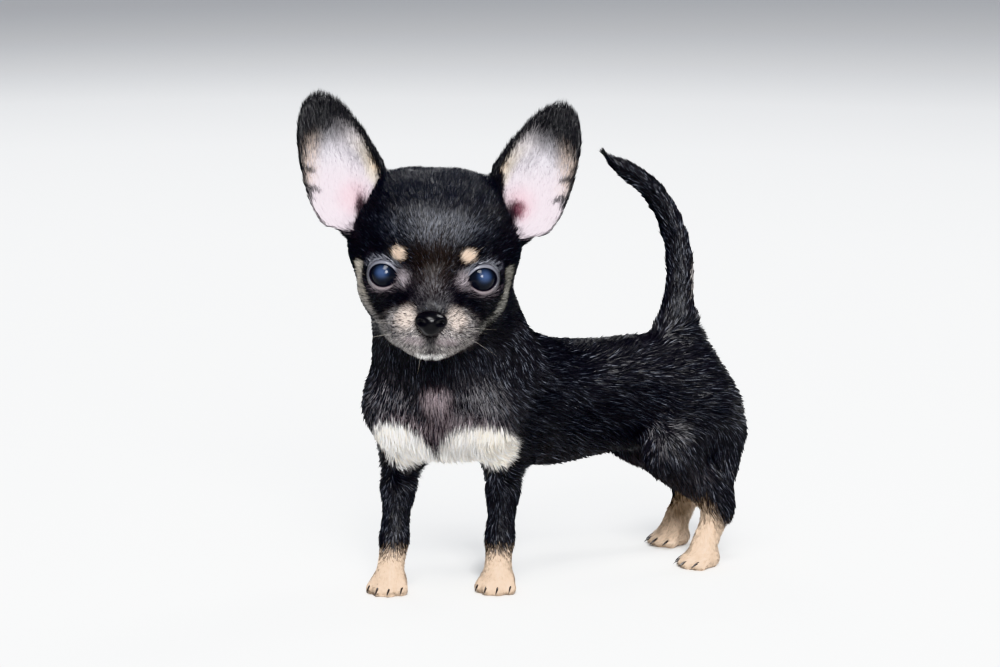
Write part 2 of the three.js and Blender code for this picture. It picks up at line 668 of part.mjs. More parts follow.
// Nose: a soft leather pad with two nostrils that open forward and sideways
const noseField = fieldOf([
  ball(HEAD, [38, 0, -15.4], [5.2, 6.3, 3.5], 2),
  ball(HEAD, [38, 0, -17.6], [4.8, 4.1, 4.2], 3),
  ...bothSides((side) => [
    hollow(limb(HEAD, sided([44, 2.5, -16], side), 1, sided([40.5, 4.5, -15.8], side), 0.9, 0.8)),
    hollow(limb(HEAD, sided([41.5, 4.3, -16], side), 0.8, sided([39.5, 6.8, -16.8], side), 0.5, 0.6)),
  ]),
  hollow(limb(HEAD, [43.6, 0, -18.4], 0.5, [42, 0, -22.2], 0.5, 0.6)),
]);
const noseRegion = region(noseField, HEAD, [31, -10, -24], [47, 10, -8], 0.5, 480);
const noseSolid = noseRegion.intersect(noseBlock(-GAP / 2));

const earSolid = (side) => {
  const field = fieldOf([...headForms, ear(side)]); // the rest of the body is out of reach
  const [a, b] = [18 * side, 60 * side];
  const [low, high] = [[-30, Math.min(a, b), 5], [4, Math.max(a, b), 71]];
  return past(region(field, HEAD, low, high, 0.7, 1250), earPlane(side));
};

// Trunk and neck
const LEG_CUTS = {
  fore: { frame: CHEST, low: [-20, 0, -5], high: [42, 45, 42.5] },
  hind: { frame: PELVIS, low: [-45, 0, -5], high: [28, 45, 59] },
};
function legBlock({ frame, low, high }, side, grow) {
  const [a, b] = [low[1] * side, high[1] * side];
  return block(frame, [low[0], Math.min(a, b), low[2]], [high[0], Math.max(a, b), high[2]], grow);
}
const TAIL_BASE_UP = 99;
const tailBlock = (grow) => block(PELVIS, [-20, -14, TAIL_BASE_UP], [60, 14, 180], grow);
const trunkRegion = region(body, WORLD, [-52, -58, 40], [52, 134, 136], 1.6, 2900);
const legHoles = bothSides((side) => Object.values(LEG_CUTS).map((cut) => legBlock(cut, side, GAP / 2)));
const torsoSolid = [...legHoles, tailBlock(GAP / 2)].reduce(
  (solid, cut) => solid.subtract(cut),
  before(trunkRegion, NECK_BASE),
);
const neckSolid = past(past(trunkRegion, NECK_TOP), NECK_BASE);

// Claws: short curved cones that leave the toes low and forward
function claw(frame, foot, toe) {
  const tip = toeTip(foot, toe);
  const cone = new THREE.ConeGeometry(1, CLAW_LENGTH, 6, 2);
  const position = cone.getAttribute("position");
  for (let i = 0; i < position.count; i++) {
    const share = position.getY(i) / CLAW_LENGTH + 0.5;
    position.setZ(i, position.getZ(i) - 1.1 * share * share);
  }
  const lean = new THREE.Euler(0, THREE.MathUtils.degToRad(10), -Math.PI / 2); // forward and a little down
  const turn = new THREE.Matrix4().makeRotationZ(0.06 * toe.out);
  const own = turn.multiply(new THREE.Matrix4().makeRotationFromEuler(lean));
  own.setPosition(tip[0] + 3.1, tip[1] + 0.2 * toe.out, tip[2] + 0.5);
  return solidOfGeometry(cone, frame.clone().multiply(own));
}

function legSolid(cut, side, foot, triangles) {
  const { frame, low, high } = cut;
  const [a, b] = [low[1] * side, high[1] * side];
  const spare = 3;
  const whole = region(
    body,
    frame,
    [low[0], Math.min(a, b) - spare, low[2]],
    [high[0] + spare, Math.max(a, b) + spare, high[2] + spare],
    1.1,
    triangles,
  );
  const parted = onGround(whole).intersect(legBlock(cut, side, -GAP / 2));
  return TOES.reduce((solid, toe) => solid.add(claw(frame, foot, toe)), largest(parted));
}
const foreSolid = (side) => legSolid(LEG_CUTS.fore, side, foreFoot(side), 900);
const hindSolid = (side) => legSolid(LEG_CUTS.hind, side, hindFoot(side), 1150);

// Tail, in three lengths
const tailRegion = region(body, PELVIS, [-12, -14, 94], [46, 14, 180], 1.2, 820);
const tailWhole = tailRegion.intersect(tailBlock(-GAP / 2));
const tailPlanes = [0.42, 0.7].map((t) => ({
  point: tailPath.getPoint(t),
  normal: tailPath.getTangent(t),
}));
const tailSolids = {
  tail_root: before(tailWhole, tailPlanes[0]),
  tail_middle: before(past(tailWhole, tailPlanes[0]), tailPlanes[1]),
  tail_tip: past(tailWhole, tailPlanes[1]),
};

// The dog, standing on z = 0, with the middle of its length and width over the origin
const dog = new THREE.Group();
function add(name, solid, look) {
  const { vertProperties, triVerts } = largest(solid).getMesh();
  const geometry = new THREE.BufferGeometry()
    .setAttribute("position", new THREE.BufferAttribute(vertProperties, 3))
    .setIndex(new THREE.BufferAttribute(triVerts, 1));
  geometry.computeVertexNormals();
  const mesh = new THREE.Mesh(geometry, new THREE.MeshStandardMaterial(look));
  mesh.name = name;
  dog.add(mesh);
}
add("head", headSolid, BLACK);
add("nose", noseSolid, WET_BLACK);
add("neck", neckSolid, BLACK);
add("torso", torsoSolid, BLACK);
for (const [side, word] of [[1, "left"], [-1, "right"]]) {
  add(`ear_${word}`, earSolid(side), PINK);
  add(`eye_${word}`, globe(side, 0, 20, 9), WET_BLUE);
  add(`foreleg_${word}`, foreSolid(side), BLACK);
  add(`hind_leg_${word}`, hindSolid(side), BLACK);
}
for (const [name, solid] of Object.entries(tailSolids)) add(name, solid, BLACK);

const extent = new THREE.Box3().setFromObject(dog);
const centre = extent.getCenter(new THREE.Vector3());
dog.position.set(-centre.x, -centre.y, -extent.min.z);

export default dog;
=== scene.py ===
import math

import bmesh
import bpy
import numpy as np
from mathutils import Matrix, Vector
from mathutils.kdtree import KDTree


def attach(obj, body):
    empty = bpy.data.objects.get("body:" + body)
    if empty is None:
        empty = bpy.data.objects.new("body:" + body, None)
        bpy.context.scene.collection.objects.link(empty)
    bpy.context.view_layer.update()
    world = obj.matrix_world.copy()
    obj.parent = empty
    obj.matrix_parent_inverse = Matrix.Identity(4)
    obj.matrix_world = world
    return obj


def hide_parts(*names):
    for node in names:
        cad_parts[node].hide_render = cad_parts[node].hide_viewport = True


# A young smooth-coated dog, black with cream points, life size and still. Lengths are in metres, +Z is up
# and the dog's back lies along Y, with its chest towards -Y. A body part's own axes are forward, left, up.
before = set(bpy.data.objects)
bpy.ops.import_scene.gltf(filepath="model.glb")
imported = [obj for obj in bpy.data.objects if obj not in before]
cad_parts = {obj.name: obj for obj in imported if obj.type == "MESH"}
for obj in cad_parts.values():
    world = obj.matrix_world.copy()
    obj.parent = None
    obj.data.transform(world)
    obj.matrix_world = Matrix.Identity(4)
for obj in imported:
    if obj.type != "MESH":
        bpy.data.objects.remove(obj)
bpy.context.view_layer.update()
collection = bpy.context.scene.collection


def place(origin, turn, lift=0.0, roll=0.0):
    """The matrix from a body part's own axes (forward, left, up) to the model's; angles in degrees."""
    facing = Matrix.Rotation(math.radians(turn - 90), 4, "Z")
    nod = Matrix.Rotation(math.radians(-lift), 4, "Y")
    tip = Matrix.Rotation(math.radians(-roll), 4, "X")
    return Matrix.Translation(origin) @ facing @ nod @ tip


CENTRED = Vector((-0.01017, -0.02706, 0))  # puts the middle of the dog's length and width over the origin
CHEST = place(CENTRED + Vector((-0.002, -0.007, 0)), 47)
BARREL = place(CENTRED + Vector((-0.008, 0.0385, 0)), 22.5)
PELVIS = place(CENTRED + Vector((0, 0.099, 0)), -2)
HEAD = place(CENTRED + Vector((0.015, -0.0228, 0.1324)), 62.5, 4, 2.5)


# Camera: in front of the dog and a little above it, with a long lens, looking it in the face.
CAMERA_TARGET = CENTRED + Vector((0.027, 0.0, 0.107))
CAMERA_AZIMUTH = 62
CAMERA_ELEVATION = 11
CAMERA_DISTANCE = 1.5
CAMERA_LENS = 138.5


def aim(thing, azimuth, elevation, distance):
    """Puts a camera or a light round the target, looking at it. Azimuth 0 is towards -Y; in degrees."""
    turned, raised = math.radians(azimuth), math.radians(elevation)
    away = Vector((
        math.sin(turned) * math.cos(raised),
        -math.cos(turned) * math.cos(raised),
        math.sin(raised),
    ))
    thing.location = CAMERA_TARGET + distance * away
    thing.rotation_euler = (-away).to_track_quat("-Z", "Y").to_euler()
    collection.objects.link(thing)


camera = bpy.data.objects.new("Camera", bpy.data.cameras.new("Camera"))
camera.data.lens = CAMERA_LENS
camera.data.sensor_width = 36
camera.data.clip_end = 20
aim(camera, CAMERA_AZIMUTH, CAMERA_ELEVATION, CAMERA_DISTANCE)
bpy.context.scene.camera = camera


# Floor and light: a pale matt floor under a pale sky. A large soft light hangs overhead, a second one beside
# the camera sets a window's glint in the eyes, and two behind the dog put a sheen on its black coat.
FLOOR_SIZE = 12.0
LIGHTS = {  # azimuth and elevation in degrees, distance, size, and power in watts
    "overhead": (52, 60, 1.6, 0.7, 30),
    "window": (70, 31, 1.5, 0.5, 31),
    "rim": (190, 48, 1.6, 0.6, 14),
    "behind": (262, 40, 1.6, 0.7, 12),
}


def new_material(name, settings):
    """A material and its shader, with the given inputs of the shader set."""
    material = bpy.data.materials.new(name)
    material.use_nodes = True
    shader = material.node_tree.nodes["Principled BSDF"]
    for label, value in settings.items():
        shader.inputs[label].default_value = value
    return material, shader


floor_form = bmesh.new()
bmesh.ops.create_grid(floor_form, x_segments=1, y_segments=1, size=FLOOR_SIZE / 2)
floor_mesh = bpy.data.meshes.new("floor")
floor_form.to_mesh(floor_mesh)
floor_form.free()
floor = bpy.data.objects.new("floor", floor_mesh)
collection.objects.link(floor)
floor_mesh.materials.append(
    new_material("pale floor", {"Base Color": (0.72, 0.72, 0.71, 1), "Roughness": 0.9})[0])

world = bpy.data.worlds.new("pale sky")
world.use_nodes = True
world.node_tree.nodes["Background"].inputs["Color"].default_value = (0.86, 0.90, 1.0, 1)
world.node_tree.nodes["Background"].inputs["Strength"].default_value = 0.42
bpy.context.scene.world = world
bpy.context.scene.view_settings.view_transform = "Khronos PBR Neutral"

for light_name, (azimuth, elevation, distance, size, power) in LIGHTS.items():
    lamp = bpy.data.lights.new(light_name, "AREA")
    lamp.shape = "DISK"
    lamp.energy = power
    lamp.size = size
    aim(bpy.data.objects.new(light_name, lamp), azimuth, elevation, distance)


# Skin: one closed surface over all the flesh. The parts are swollen by a hair so that they meet, made one,
# thinned a little and smoothed, and the whole is drawn in from the outline by the depth of the coat.
SKIN_PARTS = {
    "head": ["head"],
    "ear": ["ear_left", "ear_right"],
    "neck": ["neck"],
    "torso": ["torso"],
    "foreleg": ["foreleg_left", "foreleg_right"],
    "hind_leg": ["hind_leg_left", "hind_leg_right"],
    "tail": ["tail_root", "tail_middle", "tail_tip"],
}
SAME_SPOT = 1e-6  # corners closer than this are one
SKIN_FINENESS = 0.00088
SKIN_KEPT = 0.80  # share of the faces that stay
SWELL = 0.00022
COAT_DEPTH = {
    "head": 0.0010, "ear": 0.00035, "neck": 0.0017, "torso": 0.0018,
    "foreleg": 0.0010, "hind_leg": 0.0013, "tail": 0.0021,
}
FACE_CENTRE = (0.022, 0, -0.006)  # in the head's own axes, like the muzzle's
FACE_REACH = 0.021
MUZZLE_CENTRE = (0.033, 0, -0.019)
MUZZLE_REACH = 0.012
MUZZLE_THINNER = 0.45  # the muzzle's coat is that share thinner and shorter
FOOT_HEIGHT = 0.009
TOE_HEIGHT = 0.008
SOLE_HEIGHT = 0.0008
COAT_FULL = 0.020  # the height above the floor where the coat reaches its full depth
COAT_CURVE = 0.6  # below 1, so that the coat gains most of its depth near the floor
FORM_KEPT = {"face": 0.75, "ear": 0.5, "foot": 0.8}  # share of its own form that the smoothing leaves
DEEPER = 1.6  # how much the hollows between the toes are deepened, for their own depth
HOLLOW_MOST = 0.0004
part_names = list(SKIN_PARTS)


def node_form(node):
    """A node of the frame, its corners joined."""
    form = bmesh.new()
    form.from_mesh(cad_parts[node].data)
    bmesh.ops.remove_doubles(form, verts=form.verts, dist=SAME_SPOT)
    return form


def one_surface(form, fineness):
    """An object of the form, made one closed surface by its modifier."""
    mesh = bpy.data.meshes.new("rough")
    form.to_mesh(mesh)
    form.free()
    rough = bpy.data.objects.new("rough", mesh)
    collection.objects.link(rough)
    remesh = rough.modifiers.new("one surface", "REMESH")
    remesh.mode = "VOXEL"
    remesh.voxel_size = fineness
    return rough


def modified(rough):
    """The mesh that the object's modifiers make of it; the object goes."""
    bpy.context.view_layer.update()
    mesh = bpy.data.meshes.new_from_object(rough.evaluated_get(bpy.context.evaluated_depsgraph_get()))
    bpy.data.objects.remove(rough)
    return mesh


skin_form = bmesh.new()
part_spots = []
for part_number, nodes in enumerate(SKIN_PARTS.values()):
    for node in nodes:
        flesh = node_form(node)
        flesh.normal_update()
        for vertex in flesh.verts:
            part_spots.append((part_number, vertex.co.copy()))
            vertex.co += SWELL * vertex.normal
        flesh_mesh = bpy.data.meshes.new("part")
        flesh.to_mesh(flesh_mesh)
        flesh.free()
        skin_form.from_mesh(flesh_mesh)
        bpy.data.meshes.remove(flesh_mesh)
whole = one_surface(skin_form, SKIN_FINENESS)
whole.modifiers.new("fewer faces where it is flat", "DECIMATE").ratio = SKIN_KEPT
skin_mesh = modified(whole)
skin_mesh.name = "skin"
skin_form = bmesh.new()
skin_form.from_mesh(skin_mesh)
largest, unseen = set(), set(skin_form.verts)
while len(unseen) > len(largest):
    piece, border = set(), [next(iter(unseen))]
    while border:
        vertex = border.pop()
        if vertex in piece:
            continue
        piece.add(vertex)
        border.extend(edge.other_vert(vertex) for edge in vertex.link_edges)
    unseen -= piece
    largest = max(largest, piece, key=len)
strays = [vertex for vertex in skin_form.verts if vertex not in largest]
bmesh.ops.delete(skin_form, geom=strays, context="VERTS")
skin_form.to_mesh(skin_mesh)
skin_form.free()
skin = bpy.data.objects.new("skin", skin_mesh)
collection.objects.link(skin)


def read(mesh_part, name, width, kind=np.float64):
    """An array of one value, or one row of values, for each vertex, edge, loop or face."""
    values = np.zeros(len(mesh_part) * width, kind)
    mesh_part.foreach_get(name, values)
    return values.reshape(-1, width) if width > 1 else values


skin_edges = read(skin_mesh.edges, "vertices", 2, np.int32)
skin_count = len(skin_mesh.vertices)
edge_share = np.bincount(skin_edges.ravel(), minlength=skin_count).clip(1)


def relaxed(values, rounds, share=0.5):
    """Values on the skin's vertices, spread smoothly over their neighbours."""
    values = values.astype(float).reshape(skin_count, -1).copy()
    first, second = skin_edges.T
    for _ in range(rounds):
        for column in values.T:
            near = np.bincount(first, column[second], skin_count)
            near += np.bincount(second, column[first], skin_count)
            column += share * (near / edge_share - column)
    return values


def unit(vectors):
    return vectors / np.linalg.norm(vectors, axis=-1, keepdims=True).clip(1e-9)


def within(points, part):
    """Points in a body part's own forward, left and up."""
    matrix = np.array(part.inverted())
    return points @ matrix[:3, :3].T + matrix[:3, 3]


def outward(vectors, part):
    """Directions given in a body part's own axes, turned into the model's."""
    return np.asarray(vectors) @ np.array(part)[:3, :3].T


def fading(distance, reach, end):
    """1 near by, falling to 0 over the last reach before the end, which is counted in reaches."""
    return np.clip(end - distance / reach, 0, 1)


def on(part, *names):
    """True where the body part is one of those named."""
    return np.isin(part, [part_names.index(name) for name in names])


def per_part(amounts):
    """The amount of each body part, for every vertex of the skin."""
    return np.array([amounts[name] for name in part_names])[skin_part]


part_tree = KDTree(len(part_spots))
for index, (_, spot) in enumerate(part_spots):
    part_tree.insert(spot, index)
part_tree.balance()
skin_spots = read(skin_mesh.vertices, "co", 3)
skin_part = np.array([part_spots[part_tree.find(spot)[1]][0] for spot in skin_spots])

in_head = within(skin_spots, HEAD)
from_face = np.linalg.norm(in_head - FACE_CENTRE, axis=1)
muzzle_share = fading(np.linalg.norm(in_head - MUZZLE_CENTRE, axis=1), MUZZLE_REACH, 1.8)
held = np.maximum.reduce([
    FORM_KEPT["face"] * fading(from_face, FACE_REACH, 1.6),
    FORM_KEPT["ear"] * relaxed(on(skin_part, "ear"), 4).ravel(),
    FORM_KEPT["foot"] * fading(skin_spots[:, 2], FOOT_HEIGHT, 2),
])[:, None]
smooth_spots = relaxed(skin_spots, 14, 0.55)
skin_spots = held * relaxed(skin_spots, 3) + (1 - held) * smooth_spots

depth = relaxed(per_part(COAT_DEPTH), 25).ravel()
depth *= 1 - MUZZLE_THINNER * muzzle_share
depth *= np.clip(skin_spots[:, 2] / COAT_FULL, 0.0, 1.0) ** COAT_CURVE
skin_mesh.vertices.foreach_set("co", skin_spots.astype(np.float32).ravel())
skin_mesh.update()
skin_normals = unit(relaxed(read(skin_mesh.vertices, "normal", 3), 2))
hollowness = ((relaxed(skin_spots, 10) - skin_spots) * skin_normals).sum(1).clip(0, HOLLOW_MOST)
between_toes = fading(skin_spots[:, 2], TOE_HEIGHT, 2) * (skin_spots[:, 2] > SOLE_HEIGHT)
skin_spots -= (DEEPER * hollowness * between_toes)[:, None] * skin_normals
skin_spots -= (depth + 0.6 * SWELL * (depth > 0.0001))[:, None] * skin_normals
skin_spots[:, 2] = skin_spots[:, 2].clip(0.0, None)
skin_mesh.vertices.foreach_set("co", skin_spots.astype(np.float32).ravel())
skin_mesh.update()
for polygon in skin_mesh.polygons:
    polygon.use_smooth = True
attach(skin, "root")
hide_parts(*[node for nodes in SKIN_PARTS.values() for node in nodes])


# Markings: black all over, with cream above the eyes, on the cheeks, muzzle, chest and feet, pale skin in
# the ears and black round their rims. Each is a soft blot or stripe in its body part's own axes.
BLACK = np.array((0.0095, 0.0092, 0.0108))
BROWN_BLACK = np.array((0.0125, 0.0092, 0.0082))
CREAM = np.array((0.72, 0.50, 0.34))
FOOT_CREAM = np.array((0.66, 0.51, 0.385))
PALE = np.array((0.97, 0.95, 0.93))
CREAM_WHITE = np.array((0.95, 0.88, 0.78))
BROW_CREAM = np.array((0.76, 0.61, 0.49))
TAN_GREY = np.array((0.38, 0.30, 0.25))
GREY = np.array((0.150, 0.143, 0.152))
JAW_GREY = np.array((0.60, 0.56, 0.54))
MUZZLE_CREAM = np.array((0.64, 0.555, 0.50))
LID_GREY = np.array((0.40, 0.355, 0.38))
LID_HAIR = np.array((0.36, 0.37, 0.42))
MAUVE_GREY = np.array((0.42, 0.35, 0.37))
# Pale blue-grey hairs: partly silver hairs, partly painted sheen, glints that stand in for light on the
# black coat.
FROST_AND_SHEEN = np.array((0.125, 0.132, 0.155))
EAR_PINK = np.array((0.58, 0.45, 0.485))
EAR_PALE = np.array((0.59, 0.525, 0.56))
EAR_LILAC = np.array((0.43, 0.415, 0.445))
EAR_TAN = np.array((0.55, 0.42, 0.30))
EAR_CREAM = np.array((0.58, 0.515, 0.425))
# The red skin of the ear canal, darkened by painted shade of its hollow.
EAR_CANAL_RED_AND_SHADE = np.array((0.105, 0.035, 0.048))
EYE_SPOT = (0.0215, 0.0195, -0.0008)
CANAL = (0.030, 0.024)  # left and up
EAR_RIM = np.array([  # outward from the midline and up, round the ear from its tip
    (0.0488, 0.0650), (0.0540, 0.0604), (0.0556, 0.0500), (0.0537, 0.0380),
    (0.0502, 0.0265), (0.0469, 0.0198), (0.0430, 0.0152), (0.0370, 0.0135),
    (0.0300, 0.0146), (0.0230, 0.0200), (0.0195, 0.0300), (0.0209, 0.0386),
    (0.0255, 0.0462), (0.0297, 0.0520), (0.0345, 0.0576), (0.0424, 0.0640),
])
rim_angle = np.arctan2(EAR_RIM[:, 1] - CANAL[1], EAR_RIM[:, 0] - CANAL[0])
rim_radius = np.hypot(EAR_RIM[:, 1] - CANAL[1], EAR_RIM[:, 0] - CANAL[0])
rim_order = np.argsort(rim_angle)
BLOTS = {  # centre, radii, softness of the edge and share of the hairs, in the body part's own axes
    "between the brows": ((0.030, 0, 0.006), (0.016, 0.0095, 0.012), 0.5, 1),
    "grizzle": ((0.033, 0, -0.0050), (0.010, 0.0125, 0.0080), 0.5, 0.34),
    "over the nose": ((0.038, 0, -0.0095), (0.012, 0.0060, 0.0045), 0.4, 1),
    "forehead": ((0.020, 0, 0.0185), (0.014, 0.019, 0.0065), 0.5, 0.36),
    "jaw": ((0.026, 0.0100, -0.0225), (0.0165, 0.0108, 0.0098), 0.3, 1),
    "bridge": ((0.038, 0, -0.0095), (0.012, 0.0056, 0.0066), 0.35, 1),
    "under the nose": ((0.040, 0, -0.0235), (0.008, 0.0042, 0.0035), 0.4, 1),
    "edge of the jaw": ((0.024, 0.0130, -0.0275), (0.014, 0.0080, 0.0040), 0.5, 0.5),
    "lip skin": ((0.035, 0.0070, -0.0240), (0.006, 0.0045, 0.0016), 0.4, 1),
    "muzzle patch": ((0.0335, 0.0098, -0.0150), (0.008, 0.0040, 0.0044), 0.5, 1),
    "brow spot": ((0.0240, 0.0131, 0.0080), (0.008, 0.0027, 0.0028), 0.22, 1),
    "corner of the eye": ((0.026, 0.0116, -0.0014), (0.007, 0.0031, 0.0040), 0.5, 0.72),
    "flank of the neck": ((0.026, 0.0165, 0.0760), (0.016, 0.0120, 0.0130), 0.6, 0.30),
    "throat above": ((0.0316, 0.0026, 0.0825), (0.014, 0.0056, 0.0052), 0.5, 0.64),
    "throat below": ((0.0300, 0.0042, 0.0735), (0.014, 0.0056, 0.0080), 0.5, 0.55),
    "chest right": ((0.021, -0.0144, 0.0582), (0.018, 0.0146, 0.0140), 0.16, 1),
    "chest left": ((0.018, 0.0165, 0.0582), (0.021, 0.0158, 0.0138), 0.16, 1),
    "chest notch": ((0.020, 0.002, 0.0455), (0.016, 0.0062, 0.0085), 0.35, 1),
    "over chest right": ((0.021, -0.0110, 0.0640), (0.018, 0.0130, 0.0125), 0.3, 0.40),
    "over chest left": ((0.018, 0.0150, 0.0640), (0.021, 0.0130, 0.0125), 0.3, 0.40),
    "long hair of the chest": ((0.020, 0.0, 0.061), (0.022, 0.033, 0.013), 0.3, 1),
    "thigh": ((0.022, 0.024, 0.056), (0.010, 0.012, 0.012), 0.6, 0.14),
    "shin": ((0.008, 0, 0.038), (0.010, 0.030, 0.010), 0.5, 0.35),
    "vent": ((-0.0145, 0, 0.076), (0.007, 0.0085, 0.009), 0.4, 1),
}


def step(values, low, high):
    """0 below low, 1 above high, smooth between."""
    share = np.clip((values - low) / (high - low), 0, 1)
    return share * share * (3 - 2 * share)


def blot(points, name, chance=0.0):
    """1 inside the named ellipsoid, fading to 0 over its soft edge, for its share of the hairs."""
    centre, radii, soft, hairs = BLOTS[name]
    reach = np.linalg.norm((points - centre) / radii, axis=1)
    return (1 - step(reach, 1 - soft, 1 + soft)) * (chance < hairs)


def stripe(points, path, radius, soft):
    """1 along a path of points, fading to 0 at the radius."""
    nearest = np.full(len(points), np.inf)
    for start, end in zip(path[:-1], path[1:]):
        start, along = np.array(start), np.array(end) - start
        share = np.clip((points - start) @ along / (along @ along), 0, 1)
        nearest = np.minimum(nearest, np.linalg.norm(points - start - share[:, None] * along, axis=1))
    return 1 - step(nearest / radius, 1 - soft, 1 + soft)


def ear_reach(points):
    """How far out from the canal a point of the ear lies, 1 at the rim, and its angle there."""
    left, up = np.abs(points[:, 1]) - CANAL[0], points[:, 2] - CANAL[1]
    angle = np.arctan2(up, left)
    rim = np.interp(angle, rim_angle[rim_order], rim_radius[rim_order], period=2 * math.pi)
    return np.hypot(left, up) / rim, angle


def mix(colours, over, share):
    return colours + (over - colours) * np.asarray(share).reshape(-1, 1)


def folded(points):
    """Points of the right side laid over the left."""
    return points * (1, 0, 1) + np.abs(points) * (0, 1, 0)


CHEEK_CREAM = np.array((0.90, 0.83, 0.72))
CHEEK_STRIPE = [
    (0.0080, 0.0298, 0.0008),
    (0.0085, 0.0297, -0.0040),
    (0.0100, 0.0282, -0.0105),
    (0.0130, 0.0248, -0.0172),
    (0.0165, 0.0207, -0.0210),
]
CHEEK_SHAPE = np.array((0.4, 1, 1))  # the stripe is this much broader round the cheek than across the face
EAR_NICKS = ((0.0500, 0.0365), (0.0476, 0.0288))  # dark nicks in the pale inside, outward and up
CHIN_STRIPE = [(0.030, -0.0042, -0.0316), (0.0335, 0.0, -0.0322), (0.030, 0.0042, -0.0316)]
LIP_STRIPE = [(0.0375, 0, -0.0238), (0.036, 0.005, -0.0264), (0.030, 0.012, -0.0268)]


def head_markings(colours, head, part, chance):
    """Brown between the brows, cream spots over the eyes, a grizzled muzzle and cheek stripes, with painted
    shade and sheen.
    """
    mirrored = folded(head)
    face = on(part, "head").astype(float)
    colours = mix(colours, BROWN_BLACK, face * blot(head, "between the brows"))
    over_nose = blot(head, "over the nose")
    colours = mix(colours, GREY, 0.85 * face * blot(head, "grizzle", chance) * (1 - 0.6 * over_nose))
    # Painted shade: the black of the crown is darkened and turned bluish, so that the top of the head stays
    # dark under the overhead light.
    crown_painted_shade = step(head[:, 2], 0.024, 0.031)
    colours = mix(colours, BLACK * (0.45, 0.5, 0.65), face * crown_painted_shade)
    # Over the forehead a band of pale hairs: partly grey hair tips, partly painted sheen.
    colours = mix(colours, FROST_AND_SHEEN, 0.9 * face * blot(head, "forehead", chance))
    bridge = blot(head, "bridge")
    jaw = blot(mirrored, "jaw") * (1 - bridge) * (1 - 0.6 * blot(head, "under the nose"))
    jaw_hair = np.select(
        [(chance < 0.34)[:, None], (chance < 0.60)[:, None]], [JAW_GREY, GREY * 1.1], BROWN_BLACK)
    colours = mix(colours, jaw_hair, face * jaw)
    colours = mix(colours, JAW_GREY, 0.8 * face * blot(mirrored, "edge of the jaw", chance))
    colours = mix(colours, MAUVE_GREY, 0.45 * face * blot(mirrored, "lip skin"))
    patch_hairs = chance < 0.76 - 0.14 * (head[:, 1] > 0)
    colours = mix(colours, MUZZLE_CREAM, face * blot(mirrored, "muzzle patch") * patch_hairs * (1 - bridge))
    colours = mix(colours, BROW_CREAM, face * blot(mirrored, "brow spot"))
    colours = mix(colours, LID_GREY, 0.9 * face * blot(mirrored, "corner of the eye", chance))
    eye_left, eye_up = mirrored[:, 1] - EYE_SPOT[1], mirrored[:, 2] - EYE_SPOT[2]
    eye_reach = np.hypot(eye_left / 1.06, eye_up)
    halo = step(eye_reach, 0.0050, 0.0062) * (1 - step(eye_reach, 0.0066, 0.0082)) * (head[:, 0] > 0.010)
    above = halo * step(eye_up, 0.0015, 0.0045) * (chance < 0.55)
    under = halo * step(-eye_up, 0.0010, 0.0045) * (chance < 0.50)
    colours = mix(colours, LID_HAIR, 0.85 * face * above)
    colours = mix(colours, LID_GREY * 0.6, 0.8 * face * under)
    lip = stripe(mirrored, LIP_STRIPE, 0.0010, 0.5)
    colours = mix(colours, BLACK, 0.8 * face * lip)
    lower = step(-head[:, 2], 0.004, 0.018)
    on_cheek = (mirrored + np.outer(head[:, 1] < 0, (0, 0.0012, 0))) * CHEEK_SHAPE
    cheek = stripe(on_cheek, CHEEK_STRIPE * CHEEK_SHAPE, 0.0025, 0.3) * (chance < 0.95 - 0.25 * lower)
    cheek_colour_and_shade = mix(np.tile(CHEEK_CREAM, (len(head), 1)), JAW_GREY * 0.8, lower)
    # Painted shade: on the dog's left cheek, which lies in shade, the stripe is painted grey and darker.
    cheek_colour_and_shade = mix(cheek_colour_and_shade, JAW_GREY * (0.50, 0.54, 0.50), (head[:, 1] > 0) * 0.7)
    colours = mix(colours, cheek_colour_and_shade, 0.95 * cheek * on(part, "head", "ear", "neck"))
    return mix(colours, PALE, face * stripe(head, CHIN_STRIPE, 0.0024, 0.35) * (chance < 0.88))


